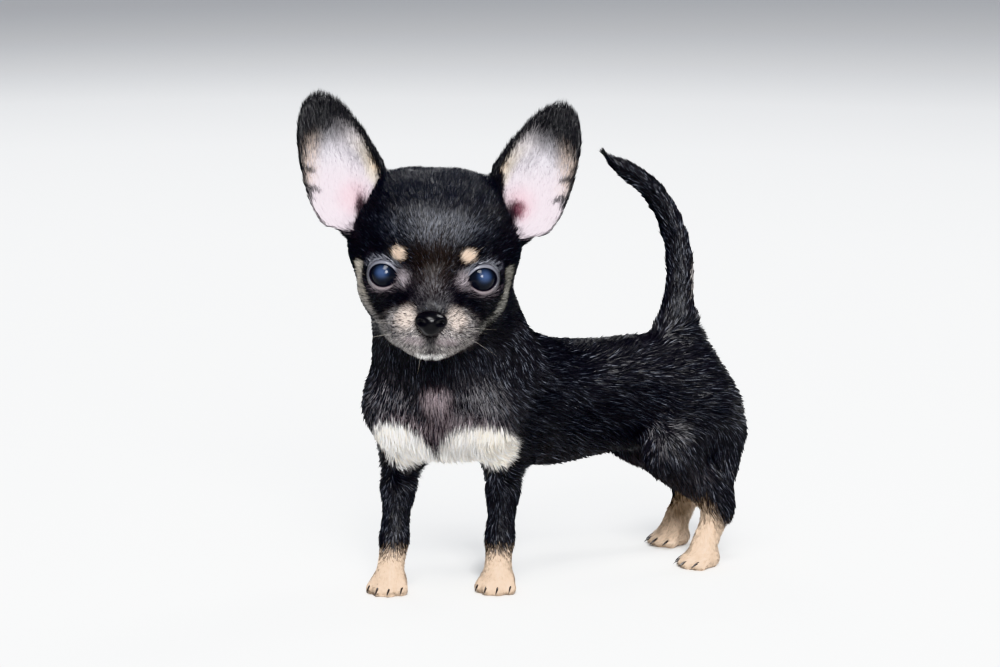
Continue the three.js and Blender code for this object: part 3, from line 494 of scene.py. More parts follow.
def body_markings(colours, points, part, chance):
    """Two white patches on the chest with mauve grey above them, cream feet, a cream spot under the tail."""
    chest = within(points, CHEST)
    fore = on(part, "neck", "torso", "foreleg")
    colours = mix(colours, GREY * 1.5, 0.8 * fore * blot(folded(chest), "flank of the neck", chance))
    colours = mix(colours, MAUVE_GREY * 0.6, 0.9 * fore * blot(chest, "throat below", chance))
    colours = mix(colours, MAUVE_GREY, 0.9 * fore * blot(chest, "throat above", chance))
    rough_edge = np.column_stack([chance - 0.5, (7 * chance) % 1 - 0.5, (13 * chance) % 1 - 0.5])
    ragged = chest + 0.0016 * rough_edge
    patches = np.maximum(blot(ragged, "chest right"), blot(ragged, "chest left"))
    patches = patches * (1 - blot(ragged, "chest notch"))
    creamy = (chance < 0.25) | ((chest[:, 1] > 0.018) & (chance < 0.7))
    fluff = np.where(creamy[:, None], CREAM_WHITE, PALE)
    fringe = np.where((chance < 0.55)[:, None], PALE * 0.75, GREY)
    above = np.maximum(blot(chest, "over chest right", chance), blot(chest, "over chest left", chance))
    colours = mix(colours, MAUVE_GREY, 0.8 * fore * above)
    colours = mix(colours, fringe, fore * step(patches, 0.0, 0.5))
    colours = mix(colours, fluff, fore * step(patches, 0.3, 0.8))

    legs = on(part, "foreleg", "hind_leg")
    rump = within(points, PELVIS)
    hind = on(part, "hind_leg")
    inner = hind * step(0.019 - np.abs(rump[:, 1]), 0.0, 0.006)
    heel = hind * step(rump[:, 0], -0.010, 0.004)
    foot_line = 0.0155 + 0.007 * (chance - 0.5) + 0.011 * heel + 0.008 * inner
    colours = mix(colours, FOOT_CREAM, legs * (1 - step(points[:, 2] - foot_line, -0.003, 0.003)))
    colours = mix(colours, GREY, 0.7 * blot(rump, "thigh", chance))
    colours = mix(colours, GREY, 0.7 * hind * blot(rump, "shin", chance))
    colours = mix(colours, CREAM, 0.8 * blot(rump, "vent") * on(part, "torso", "hind_leg", "tail"))
    tail_back = on(part, "tail") * step(-rump[:, 0], 0.0000, 0.0016)
    tail_back = tail_back * step(rump[:, 2], 0.104, 0.110) * (1 - step(rump[:, 2], 0.118, 0.124))
    return mix(colours, JAW_GREY, 0.8 * tail_back * (chance < 0.6))


def ear_markings(colours, head, normals, part, chance):
    """Pale skin and hair inside the cup, black round the rim and over the top, a dark canal in painted
    shade.
    """
    reach, angle = ear_reach(head)
    facing = normals @ outward((1, 0, 0), HEAD)
    out, up = np.abs(head[:, 1]), head[:, 2]
    cup = on(part, "ear") | (on(part, "head") & (head[:, 0] < -0.0035))
    left_ear = (head[:, 1] > 0).astype(float)
    root_line = 0.0190 + (0.0018 + 0.0046 * left_ear) * (1 - step(up, 0.037, 0.043))
    inner = cup * step(facing, 0.0, 0.3) * step(out, root_line, root_line + 0.0016)
    medial_side = step(-np.cos(angle), -0.15, 0.35) * step(up, 0.029, 0.034)
    rim_line = 0.92 - 0.04 * step(up, 0.035, 0.060) - 0.04 * step(np.cos(angle), 0.2, 0.8)
    rim_line = rim_line - medial_side * (0.13 - 0.08 * step(up, 0.040, 0.054))
    rim_line = rim_line + 0.09 * step(np.cos(angle), 0.1, 0.6) * step(0.028 - up, 0.0, 0.006)
    pale = inner * (1 - step(reach + 0.12 * (chance - 0.5), rim_line - 0.05, rim_line + 0.03))
    tip_line = 0.0530 - 0.70 * (out - 0.040)
    fade = step(up + 0.007 * (chance - 0.5), tip_line - 0.0050, tip_line + 0.0045)
    pale = pale * (1 - fade)
    near_canal = step(np.hypot(out - 0.032, up - 0.026), 0.002, 0.010)
    inside = mix(np.tile(EAR_PINK, (len(head), 1)), EAR_PALE, near_canal)
    inside = mix(inside, EAR_LILAC, 0.8 * step(up, 0.031, 0.044))
    grey_top = step(up, tip_line - 0.011, tip_line - 0.001)
    inside = mix(inside, EAR_LILAC * 0.42, 0.8 * grey_top)
    creamy = step(-np.cos(angle), -0.45, 0.2) * step(reach, rim_line - 0.42, rim_line - 0.16)
    creamy = creamy * step(up, 0.026, 0.034)
    inside = mix(inside, EAR_CREAM, 0.75 * creamy * (1 - 0.7 * step(up, 0.044, 0.054)))
    medial = step(-np.cos(angle), -0.1, 0.5) * step(reach, rim_line - 0.16, rim_line - 0.05)
    inside = mix(inside, EAR_TAN, 0.8 * medial * step(up, 0.035, 0.038) * (1 - step(up, 0.041, 0.047)))
    streak = 0.5 + 0.5 * np.sin(41 * angle + 4 * np.sin(13 * angle) + 3 * reach)
    inside = inside * (1 - 0.26 * streak * step(up, 0.026, 0.040))[:, None]
    outer_band = step(out, 0.0440, 0.0500) * step(up, 0.026, 0.034)
    inside = mix(inside, TAN_GREY, 0.8 * outer_band * (chance < 0.6))
    for spot_out, spot_up in EAR_NICKS:
        spot = np.hypot((out - spot_out) / 0.0034, (up - spot_up + 0.3 * (spot_out - out)) / 0.0016)
        inside = mix(inside, BLACK, 0.9 * (1 - step(spot, 0.5, 1.2)))
    notch = np.hypot((out - 0.0282) / 0.0034, (up - 0.0216) / 0.0052)
    # Painted shade: the hollow of the canal is painted dark red over the pink skin, stronger in the left
    # ear.
    hollow_width = 0.0020 + 0.0018 * left_ear
    hollow = np.hypot((out - 0.0300 - 0.0022 * left_ear) / hollow_width, (up - 0.0238) / 0.0038)
    inside = mix(inside, EAR_CANAL_RED_AND_SHADE, (0.6 + 0.35 * left_ear) * (1 - step(hollow, 0.4, 1.5)))
    inside = mix(inside, BLACK, 0.9 * (1 - step(notch + 0.5 * (chance - 0.5), 0.6, 1.2)))
    colours = mix(colours, BLACK * 0.6, cup * step(facing, 0.0, 0.3) * on(part, "ear"))
    return mix(colours, inside, pale)


def markings(points, normals, part, chance):
    """The coat's colour at each point. Chance, from 0 to 1, picks light or dark hairs where they mingle."""
    colours = np.tile(BLACK, (len(points), 1))
    head = within(points, HEAD)
    colours = head_markings(colours, head, part, chance)
    colours = body_markings(colours, points, part, chance)
    return ear_markings(colours, head, normals, part, chance)


MIXED_HAIRS = 8  # the skin takes the mean colour of this many hairs
UNDERCOAT = 0.72  # the skin of the head is this much darker than the hair over it
skin_colours = np.mean([
    markings(skin_spots, skin_normals, skin_part, np.full(skin_count, (count + 0.5) / MIXED_HAIRS))
    for count in range(MIXED_HAIRS)
], axis=0)
skin_colours = relaxed(skin_colours, 1)
skin_colours[on(skin_part, "head")] *= UNDERCOAT


def tint(mesh, layer_name, colours):
    """Writes a colour for each vertex into a new layer of the mesh."""
    layer = mesh.color_attributes.new(layer_name, "FLOAT_COLOR", "POINT")
    rows = np.column_stack([colours, np.ones(len(colours))])
    layer.data.foreach_set("color", rows.astype(np.float32).ravel())


tint(skin_mesh, "Coat", skin_colours)
STREAKS = 900  # of the gloss and the relief, for each metre
STREAK_HEIGHT = 0.0003


def tinted_by(material, layer_name):
    """Makes the shader of a material take its colour from the named layer."""
    nodes, links = material.node_tree.nodes, material.node_tree.links
    colour = nodes.new("ShaderNodeAttribute")
    colour.attribute_name = layer_name
    links.new(colour.outputs["Color"], nodes["Principled BSDF"].inputs["Base Color"])


def coat_material(name, roughness, bump):
    """Short hair: the coat's own colours, a soft gloss, and fine streaks in the gloss."""
    material, shader = new_material(name, {})
    tinted_by(material, "Coat")
    nodes, links = material.node_tree.nodes, material.node_tree.links
    place_node = nodes.new("ShaderNodeTexCoord")
    noise = nodes.new("ShaderNodeTexNoise")
    noise.inputs["Scale"].default_value = STREAKS
    noise.inputs["Detail"].default_value = 3
    links.new(place_node.outputs["Object"], noise.inputs["Vector"])
    gloss = nodes.new("ShaderNodeMapRange")
    gloss.inputs["To Min"].default_value = roughness - 0.08
    gloss.inputs["To Max"].default_value = roughness + 0.10
    links.new(noise.outputs["Fac"], gloss.inputs["Value"])
    links.new(gloss.outputs["Result"], shader.inputs["Roughness"])
    relief = nodes.new("ShaderNodeBump")
    relief.inputs["Strength"].default_value = bump
    relief.inputs["Distance"].default_value = STREAK_HEIGHT
    links.new(noise.outputs["Fac"], relief.inputs["Height"])
    links.new(relief.outputs["Normal"], shader.inputs["Normal"])
    return material, shader


skin_mesh.materials.clear()
skin_mesh.materials.append(coat_material("skin under the coat", 0.5, 0.5)[0])


# Lie of the coat: on the head the hair runs back from the nose, on the neck and chest down, along the trunk
# back, down the legs and out along the tail. Its length follows the body part.
NOSE_TIP = (0.043, 0, -0.014)
TAIL_WAY = [  # ahead and up in the pelvis's own axes, in millimetres
    (3, 86), (3, 96), (2, 108), (1.5, 122), (5.5, 138.7),
    (13.6, 152.2), (22.5, 160.1), (31.4, 165.2), (39, 172),
]
tail_way = np.array([(ahead / 1000, 0, up / 1000) for ahead, up in TAIL_WAY])
HAIR_LENGTH = {
    "head": 0.0026, "ear": 0.0022, "neck": 0.0050, "torso": 0.0056,
    "foreleg": 0.0036, "hind_leg": 0.0046, "tail": 0.0044,
}
PART_AXES = {
    "head": HEAD, "ear": HEAD, "neck": CHEST, "torso": BARREL,
    "foreleg": CHEST, "hind_leg": PELVIS, "tail": PELVIS,
}
STRAIGHT_WAYS = {  # ahead, left and up, in the body part's own axes
    "neck": (-0.35, 0, -1.0),
    "torso": (-1.0, 0, -0.35),
    "foreleg": (-0.12, 0, -1.0),
    "hind_leg": (-0.35, 0, -1.0),
}
DOWN_THE_BREAST = (0.1, 0, -1.0)
OVER_THE_TOES = (0.9, 0, -0.35)
SWIRL = 0.22
FOOT_HAIR = 0.36  # share of the leg's hair length, on the feet
RIM_LONGER = 0.7
CHEST_LONGER = 0.25
TAIL_END_SHORTER = 0.35
LIFT = 0.4  # share of the way out of the skin that a hair keeps


def lie_of_coat(points, part):
    """The way the hair points from each spot of the skin, not yet laid along it."""
    head = within(points, HEAD)
    side = np.sign(head[:, 1])[:, None]
    from_canal = unit(np.column_stack([np.abs(head[:, 1]) - 0.030, head[:, 2] - 0.016]))
    up_the_ear = np.column_stack([0 * side, 0.4 * side * from_canal[:, :1], 0.9 * from_canal[:, 1:] + 0.55])
    ways = {}
    for name, way in STRAIGHT_WAYS.items():
        ways[name] = np.tile(outward(way, PART_AXES[name]), (len(points), 1))
    ways["head"] = outward(unit(head - NOSE_TIP), HEAD)
    ways["ear"] = outward(up_the_ear, HEAD)
    breast = step(within(points, CHEST)[:, 0], 0.008, 0.026)[:, None]
    ways["torso"] = ways["torso"] * (1 - breast) + outward(DOWN_THE_BREAST, CHEST) * breast
    rump = within(points, PELVIS)
    nearest = np.argmin(np.linalg.norm(rump[:, None, :] * (1, 0, 1) - tail_way[None], axis=2), axis=1)
    nearest = nearest.clip(0, len(tail_way) - 2)
    ways["tail"] = outward(tail_way[nearest + 1] - tail_way[nearest], PELVIS)
    toe = step(0.012 - points[:, 2], 0.0, 0.006)[:, None]
    for legs in ("foreleg", "hind_leg"):
        ways[legs] = ways[legs] * (1 - toe) + outward(OVER_THE_TOES, PART_AXES[legs]) * toe
    stacked = np.stack([unit(ways[name]) for name in part_names])
    return stacked[part, np.arange(len(points))]


chance_field = np.random.default_rng(5).normal(size=(skin_count, 3))
swirl = unit(relaxed(chance_field, 30))
lie = unit(relaxed(lie_of_coat(skin_spots, skin_part), 24)) + SWIRL * swirl
leaving = (lie * skin_normals).sum(1)[:, None]
lie += (LIFT * leaving.clip(0, None) - leaving) * skin_normals
lie = unit(relaxed(lie, 2))
hair_length = relaxed(per_part(HAIR_LENGTH), 12).ravel()
hair_length *= 1 - MUZZLE_THINNER * muzzle_share
hair_length *= FOOT_HAIR + (1 - FOOT_HAIR) * step(skin_spots[:, 2], 0.009, 0.026)
at_rim = step(ear_reach(in_head)[0], 0.60, 0.92) * on(skin_part, "ear")
hair_length *= 1 + RIM_LONGER * at_rim
breast_share = blot(within(skin_spots, CHEST), "long hair of the chest")
hair_length *= 1 + CHEST_LONGER * breast_share
tail_end = step(within(skin_spots, PELVIS)[:, 0], 0.020, 0.036) * on(skin_part, "tail")
hair_length *= 1 - TAIL_END_SHORTER * tail_end
hair_lift = (0.8 + 0.3 * breast_share) * (1 - 0.4 * tail_end)
face_density = 1 + 1.1 * fading(from_face, 0.026, 1.7)

skin_mesh.calc_loop_triangles()
triangles = read(skin_mesh.loop_triangles, "vertices", 3, np.int32)
corners = skin_spots[triangles]
areas = np.linalg.norm(np.cross(corners[:, 1] - corners[:, 0], corners[:, 2] - corners[:, 0]), axis=1) / 2
areas *= face_density[triangles[:, 0]]
triangle_part = skin_part[triangles[:, 0]]
triangle_left = within(corners.mean(1), HEAD)[:, 1] > 0
triangle_side = within(corners.mean(1), BARREL)[:, 1] > 0


# Bare places, where no tuft grows: the eyes, the nose pad and the soles.
EYE_CLEAR = (0.012, 0.0068, 0.0063)
NOSE_SPOT = (0.0415, 0, -0.0165)
NOSE_CLEAR = (0.006, 0.0074, 0.0062)
SOLE_CLEAR = 0.0007


def bare(points):
    """True where the skin carries no hair."""
    head = within(points, HEAD)
    near_eye = np.linalg.norm((folded(head) - EYE_SPOT) / EYE_CLEAR, axis=1) < 1
    near_nose = np.linalg.norm((head - NOSE_SPOT) / NOSE_CLEAR, axis=1) < 1
    return near_eye | near_nose | (points[:, 2] < SOLE_CLEAR)


# Coat: several hundred thousand closed tufts, each a low four-cornered spike that leaves the skin at its
# root, rises to its knee and lies flatter from there to its tip. Each tuft has a small patch at its root's
# place on a flat map of the skin.
PATCH = 0.003
PATCH_CORNERS = np.array([(-0.4, -0.3), (0.4, -0.3), (0.0, 0.1), (0.0, 0.4)])
TUFT_FACES = np.array([(0, 1, 2), (0, 2, 3), (2, 1, 3), (0, 3, 1)])
# Shares of the black tufts that turn pale: partly silver hairs, partly painted sheen; fewer where the skin
# faces up.
FROST_AND_SHEEN_SHARE = {"head": 0.05, "ear": 0.0, "torso": 0.15, "hind_leg": 0.14}
FROST_AND_SHEEN_ELSEWHERE = 0.13
LENGTHS = (0.72, 1.18)  # the least and the most of the usual, here and in the next two
HEIGHTS = (0.55, 1.15)
WIDTHS = (0.7, 1.3)
STRAY = 0.10  # how far hairs stray from the lie of the coat
COLOUR_AT = 0.45  # share of its length at which a tuft takes its colour from the markings
COLOUR_SCATTER = 0.0005
DARK = 0.03  # hairs below this brightness are black
BRIGHT = 0.6  # and above this one white
ROOT_SUNK = 0.00012
KNEE = {"along": 0.42, "up": 0.75}  # shares of a tuft's length and height
TIP_UP = 0.95
ABOVE_FLOOR = 0.0003
UNEVEN = 0.30  # how much the shading differs from tuft to tuft
ROUND = 0.6  # how round a tuft is shaded across


def sheet_place(points, part):
    """Where each root lies on the skin laid flat: round and along each body part."""
    local = within(points, PART_AXES[part])
    if part == "head":
        away = unit(local - (-0.004, 0, 0.004))
        polar = np.arccos(np.clip(away[:, 0], -1, 1))[:, None] / math.pi
        return 0.5 + 0.48 * unit(away[:, 1:]) * polar
    if part == "ear":
        front = local[:, 0] > -0.008
        across = (np.abs(local[:, 1]) - 0.010) / 0.052 * 0.46 + 0.02
        return np.column_stack([across + 0.5 * front, (local[:, 2] - 0.004) / 0.070])
    middle = local.mean(0)
    axis = 0 if part == "torso" else 2
    others = [k for k in range(3) if k != axis]
    angle = np.arctan2(local[:, others[1]] - middle[others[1]], local[:, others[0]] - middle[others[0]])
    low, high = local[:, axis].min(), local[:, axis].max()
    return np.column_stack([(angle / math.pi + 1) / 2 * 0.96 + 0.02, (local[:, axis] - low) / (high - low)])


def grow(name, part, chosen, count, width, seed):
    """A piece of the coat: count tufts over the chosen triangles of the skin."""
    rng = np.random.default_rng(seed)
    share = np.where(chosen, areas, 0).cumsum()
    picked = np.searchsorted(share, rng.random(count) * share[-1])
    weights = rng.dirichlet((1, 1, 1), count)

    def at_root(values):
        return (values[triangles[picked]] * weights.reshape(count, 3, *[1] * (values.ndim - 1))).sum(1)

    root = at_root(skin_spots)
    normal = unit(at_root(skin_normals))
    way = unit(at_root(lie) + STRAY * rng.normal(size=(count, 3)))
    into = (way * normal).sum(1)[:, None].clip(None, 0)
    way = unit(way - into * normal)
    length = at_root(hair_length) * rng.uniform(*LENGTHS, count)
    height = at_root(depth) * at_root(hair_lift) * rng.uniform(*HEIGHTS, count)
    chance = rng.random(count)
    shown = root + COLOUR_AT * length[:, None] * way + COLOUR_SCATTER * rng.normal(size=(count, 3))
    colours = markings(shown, normal, skin_part[triangles[picked, 0]], chance)
    dark = colours.mean(1) < DARK
    bright = colours.mean(1) > BRIGHT
    spread = np.where(bright, rng.uniform(0.84, 1.10, count), rng.uniform(0.66, 1.12, count))
    colours = colours * np.where(dark, rng.lognormal(0, 0.5, count), spread)[:, None]
    # Painted sheen: some black tufts turn pale blue-grey, fewer where the skin faces up towards the overhead
    # light.
    frost_and_sheen_share = FROST_AND_SHEEN_SHARE.get(part, FROST_AND_SHEEN_ELSEWHERE) * (1 - 0.8 * step(normal[:, 2], 0.2, 0.8))
    frost_and_sheen_tufts = dark & (rng.random(count) < frost_and_sheen_share)
    colours = np.where(frost_and_sheen_tufts[:, None], FROST_AND_SHEEN * rng.uniform(0.4, 1.0, (count, 1)), colours).clip(0, 0.98)
    keep = ~bare(root)
    root, normal, way, length = root[keep], normal[keep], way[keep], length[keep]
    height, colours = height[keep], colours[keep]
    across = np.cross(way, normal)
    half = (width / 2 * rng.uniform(*WIDTHS, len(root)))[:, None]
    sunk = root - ROOT_SUNK * normal
    knee = root + KNEE["along"] * length[:, None] * way + (KNEE["up"] * height)[:, None] * normal
    tip = root + length[:, None] * way + (TIP_UP * height)[:, None] * normal
    corner = np.stack([sunk - half * across, sunk + half * across, knee, tip], 1)
    corner[:, :, 2] = corner[:, :, 2].clip(ABOVE_FLOOR, None)
    tilt = normal + UNEVEN * rng.normal(size=normal.shape)
    shading = np.stack([tilt - ROUND * across, tilt + ROUND * across, tilt, tilt + 0.25 * way], 1)
    faces = (4 * np.arange(len(root))[:, None, None] + TUFT_FACES).reshape(-1, 3)
    mesh = bpy.data.meshes.new(name)
    mesh.from_pydata(corner.reshape(-1, 3).astype(np.float32), [], faces.astype(np.int32), shade_flat=False)
    tint(mesh, "Coat", np.repeat(colours, 4, axis=0))
    flat = sheet_place(root, part)[:, None, :] + PATCH * PATCH_CORNERS
    flat = flat.reshape(-1, 2)[faces.ravel()].clip(0.001, 0.999)
    mesh.uv_layers.new(name="OFBake").uv.foreach_set("vector", flat.astype(np.float32).ravel())
    mesh.normals_split_custom_set_from_vertices(unit(shading.reshape(-1, 3)).astype(np.float32))
    mesh.materials.append(hair_material)
    piece = bpy.data.objects.new(name, mesh)
    collection.objects.link(piece)
    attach(piece, "root")


hair_material, hair_shader = coat_material("short hair", 0.36, 0.0)
hair_shader.inputs["Specular IOR Level"].default_value = 0.24
COATS = {  # body part, its side, number of tufts and their width
    "coat_head_left": ("head", triangle_left, 49500, 0.00019),
    "coat_head_right": ("head", ~triangle_left, 49500, 0.00019),
    "coat_ear_left": ("ear", triangle_left, 20000, 0.00020),
    "coat_ear_right": ("ear", ~triangle_left, 20000, 0.00020),
    "coat_neck": ("neck", True, 33000, 0.00026),
    "coat_torso_left": ("torso", triangle_side, 49500, 0.00027),
    "coat_torso_right": ("torso", ~triangle_side, 49500, 0.00027),
    "coat_forelegs": ("foreleg", True, 30000, 0.00026),
    "coat_hind_legs": ("hind_leg", True, 42000, 0.00025),
    "coat_tail": ("tail", True, 24000, 0.00024),
}
FIRST_SEED = 21
for seed, (name, (part, side, count, width)) in enumerate(COATS.items(), FIRST_SEED):
    grow(name, part, on(triangle_part, part) & side, count, width, seed)


# Eyes: a wet blue-black globe with a clear bulge in front, and over the upper half of its pupil a bluish
# haze, partly the eye's own blue and partly a painted reflection of the sky. The lids ring it: thin above, a
# broader wet rim below, and a corner towards the nose.
EYE_CENTRE = (0.0148, 0.0175, -0.0008)
EYE_AXIS = (0.95, 0.31, -0.02)
EYE_RADIUS = 0.0076
EYE_OPENING = (0.0054, 0.0045)  # half width and half height between the lids
EYE_BULGE = 0.0007
PUPIL_RADIUS = 0.0056  # the dark part of the globe; beyond it the white begins
GLOBE_WHITE = 0.0064
WET = {"Coat Roughness": 0.03, "Specular IOR Level": 0.3}


def linked(name, form, material):
    """A finished piece from its form, with its place in its mesh."""
    mesh = bpy.data.meshes.new(name)
    form.to_mesh(mesh)
    form.free()
    for polygon in mesh.polygons:
        polygon.use_smooth = True
    mesh.materials.append(material)
    piece = bpy.data.objects.new(name, mesh)
    collection.objects.link(piece)
    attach(piece, "root")
    return piece


def eye_place(side):
    """The eye's own axes: x to the dog's left, y up and z out through the pupil."""
    ahead = Vector((EYE_AXIS[0], EYE_AXIS[1] * side, EYE_AXIS[2])).normalized()
    across = Vector((0, 0, 1)).cross(ahead).normalized()
    axes = Matrix((across, ahead.cross(across), ahead)).transposed().to_4x4()
    centre = Vector((EYE_CENTRE[0], EYE_CENTRE[1] * side, EYE_CENTRE[2]))
    return HEAD @ Matrix.Translation(centre) @ axes


eye_material = new_material("wet dark eye", {
    "Roughness": 0.5,
    "Specular IOR Level": 0.0,
    "Coat Weight": 0.8,
    "Coat IOR": 1.25,
    "Coat Roughness": 0.09,
})[0]
tinted_by(eye_material, "Iris")

# The pupil's blue: partly the eye's own colour, partly a painted reflection of the sky and the highlight.
PUPIL_BLUE_AND_SKY_REFLECTION = np.array((0.034, 0.050, 0.098))
IRIS_COLOUR = np.array((0.0085, 0.0090, 0.0112))
WHITE_COLOUR = np.array((0.05, 0.04, 0.04))
for side, word in ((1, "left"), (-1, "right")):
    globe = bmesh.new()
    bmesh.ops.create_uvsphere(globe, u_segments=72, v_segments=48, radius=EYE_RADIUS)
    globe_places = np.array([vertex.co for vertex in globe.verts])
    for vertex in globe.verts:
        off = math.hypot(vertex.co.x, vertex.co.y)
        if vertex.co.z > 0:
            vertex.co.z += EYE_BULGE * (1 - min(off / PUPIL_RADIUS, 1) ** 2) ** 2
    bmesh.ops.transform(globe, matrix=eye_place(side), verts=globe.verts)
    eye = linked(f"eyeball_{word}", globe, eye_material)
    off = np.hypot(globe_places[:, 0], globe_places[:, 1]) + 0.02 * (globe_places[:, 2] < 0)
    haze_and_reflection_off = np.hypot(globe_places[:, 0], globe_places[:, 1] - 0.0010)
    # Painted reflection: the haze is brighter over the upper half of the pupil, where the sky is reflected
    # in the cornea.
    haze_and_sky_reflection = (1 - step(haze_and_reflection_off, 0.0006, 0.0038)) * (0.25 + 0.75 * step(globe_places[:, 1], -0.0020, 0.0012))
    haze_and_sky_reflection = haze_and_sky_reflection * (globe_places[:, 2] > 0)
    globe_colours = mix(np.tile(IRIS_COLOUR, (len(off), 1)), PUPIL_BLUE_AND_SKY_REFLECTION, haze_and_sky_reflection)
    tint(eye.data, "Iris", mix(globe_colours, WHITE_COLOUR, step(off, PUPIL_RADIUS, GLOBE_WHITE)))
    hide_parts(f"eye_{word}")


# Lids: a soft rolled rim of bare skin, drawn over the globe and sunk into the coat at its outer edge.
LID_ROWS = [  # share of the rim's width outward from the opening, height over the globe
    (-0.10, -0.0003),
    (0.00, 0.0002),
    (0.07, 0.00045),
    (0.22, 0.0007),
    (0.45, 0.0008),
    (0.75, 0.00075),
    (1.05, 0.0004),
    (1.40, -0.0006),
]
LID_STEPS = 64
LID_EDGE = np.array((0.010, 0.008, 0.010))
# The upper rim is grey skin painted lighter and bluer with a reflection of the sky; the lower rim keeps its
# own pinkish grey.
LID_UPPER_AND_SKY_REFLECTION = np.array((0.115, 0.118, 0.140))
LID_LOWER = np.array((0.150, 0.125, 0.132))
LID_OUTER = np.array((0.040, 0.037, 0.043))
LID_WIDTH = 0.0017
LID_WIDER = {"below": 0.0007, "corner": 0.0008}
CORNER_REACH = 0.0011  # how much further the opening reaches at the corner towards the nose
OVER_GLOBE = 0.0002

lid_material = new_material("lid rim", {**WET, "Roughness": 0.45, "Coat Weight": 0.15})[0]
tinted_by(lid_material, "Lid")
for side, word in ((1, "left"), (-1, "right")):
    lids = bmesh.new()
    rings = []
    lid_tints = []
    for outward_share, rise in LID_ROWS:
        ring = []
        for count in range(LID_STEPS):
            angle = 2 * math.pi * count / LID_STEPS
            below = max(0.0, -math.sin(angle + 0.35 * side))
            inner_corner = max(0.0, -side * math.cos(angle) - 0.15 * math.sin(angle)) ** 10
            width = LID_WIDTH + LID_WIDER["below"] * below + LID_WIDER["corner"] * inner_corner
            reach = EYE_OPENING[0] + CORNER_REACH * inner_corner + outward_share * width
            across = reach * math.cos(angle)
            up = (EYE_OPENING[1] + outward_share * width) * math.sin(angle)
            radius = EYE_RADIUS + OVER_GLOBE + rise
            off = min(math.hypot(across, up), 0.98 * radius)
            ring.append(lids.verts.new((across, up, math.sqrt(radius * radius - off * off))))
            # Painted reflection: the rim is lighter and bluer above, fading to its own colour below.
            rim_colour = LID_UPPER_AND_SKY_REFLECTION + (LID_LOWER - LID_UPPER_AND_SKY_REFLECTION) * min(1.0, 1.6 * below)
            edge_share = 1 - min(1.0, max(0.0, (outward_share + 0.05) / 0.22))
            outer_share = min(1.0, max(0.0, (outward_share - 0.30) / 0.8))
            to_temple = max(0.0, side * math.cos(angle)) ** 2
            rim_colour = rim_colour * (1 - 0.6 * to_temple)
            lid_tints.append(rim_colour * (1 - max(edge_share, outer_share))
                             + LID_EDGE * edge_share + LID_OUTER * outer_share)
        rings.append(ring)
    for inner_ring, outer_ring in zip(rings[:-1], rings[1:]):
        for count in range(LID_STEPS):
            after = (count + 1) % LID_STEPS
            lids.faces.new((inner_ring[count], outer_ring[count], outer_ring[after], inner_ring[after]))
    bmesh.ops.transform(lids, matrix=eye_place(side), verts=lids.verts)
    bmesh.ops.recalc_face_normals(lids, faces=lids.faces)
    lid_piece = linked(f"lids_{word}", lids, lid_material)
    tint(lid_piece.data, "Lid", lid_tints)


# Nose: a moist pad of fine-grained leather with two comma-shaped nostrils.
NOSE_FINENESS = 0.0003

nose_source = one_surface(node_form("nose"), NOSE_FINENESS)
nose_source.modifiers.new("soften", "SMOOTH").iterations = 12
leather_mesh = modified(nose_source)
leather_form = bmesh.new()
leather_form.from_mesh(leather_mesh)
bpy.data.meshes.remove(leather_mesh)
nose_material, nose_shader = new_material("nose leather", {
    "Base Color": (0.0030, 0.0028, 0.0034, 1),
    "Roughness": 0.34,
    "Specular IOR Level": 0.14,
    "Coat Weight": 0.12,
    "Coat Roughness": 0.10,
})
nose_nodes, nose_links = nose_material.node_tree.nodes, nose_material.node_tree.links
nose_place = nose_nodes.new("ShaderNodeTexCoord")
grain = nose_nodes.new("ShaderNodeTexVoronoi")
grain.feature = "DISTANCE_TO_EDGE"
grain.inputs["Scale"].default_value = 1700
nose_relief = nose_nodes.new("ShaderNodeBump")
nose_relief.inputs["Strength"].default_value = 0.35
nose_relief.inputs["Distance"].default_value = 0.0002
nose_links.new(nose_place.outputs["Object"], grain.inputs["Vector"])
nose_links.new(grain.outputs["Distance"], nose_relief.inputs["Height"])
nose_links.new(nose_relief.outputs["Normal"], nose_shader.inputs["Normal"])
nose = linked("nose_pad", leather_form, nose_material)
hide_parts("nose")


# Claws: a short dark horn on each toe, curved down, its root in the hair.
# A toe's place is to the left and ahead of its foot; a foot's is ahead and to the left, in the given axes.
TOES = [(-0.0060, 0.0034), (-0.0021, 0.0067), (0.0021, 0.0067), (0.0060, 0.0034)]
FEET = {
    "foreleg_left": (CHEST, 0.0040, 0.0205),
    "foreleg_right": (CHEST, 0.0170, -0.0205),
    "hind_leg_left": (PELVIS, 0.0010, 0.0190),
    "hind_leg_right": (PELVIS, -0.0060, -0.0190),
}
CLAW_LENGTH = 0.0042
CLAW_RADIUS = 0.00065
CLAW_RINGS = 7
CLAW_SIDES = 10
CLAW_ROOT = (0.0010, 0.0032)  # ahead of the toe and up
CLAW_SPLAY = 0.06  # share of the toe's place to the side
CLAW_DROP = 0.0018
CLAW_TIP = 0.00006


def tube(form, rings):
    """Closes rings of corners into a tube with both its ends shut."""
    for inner_ring, outer_ring in zip(rings[:-1], rings[1:]):
        for count in range(len(inner_ring)):
            after = (count + 1) % len(inner_ring)
            form.faces.new((inner_ring[count], inner_ring[after], outer_ring[after], outer_ring[count]))
    form.faces.new(rings[0])
    form.faces.new(rings[-1])


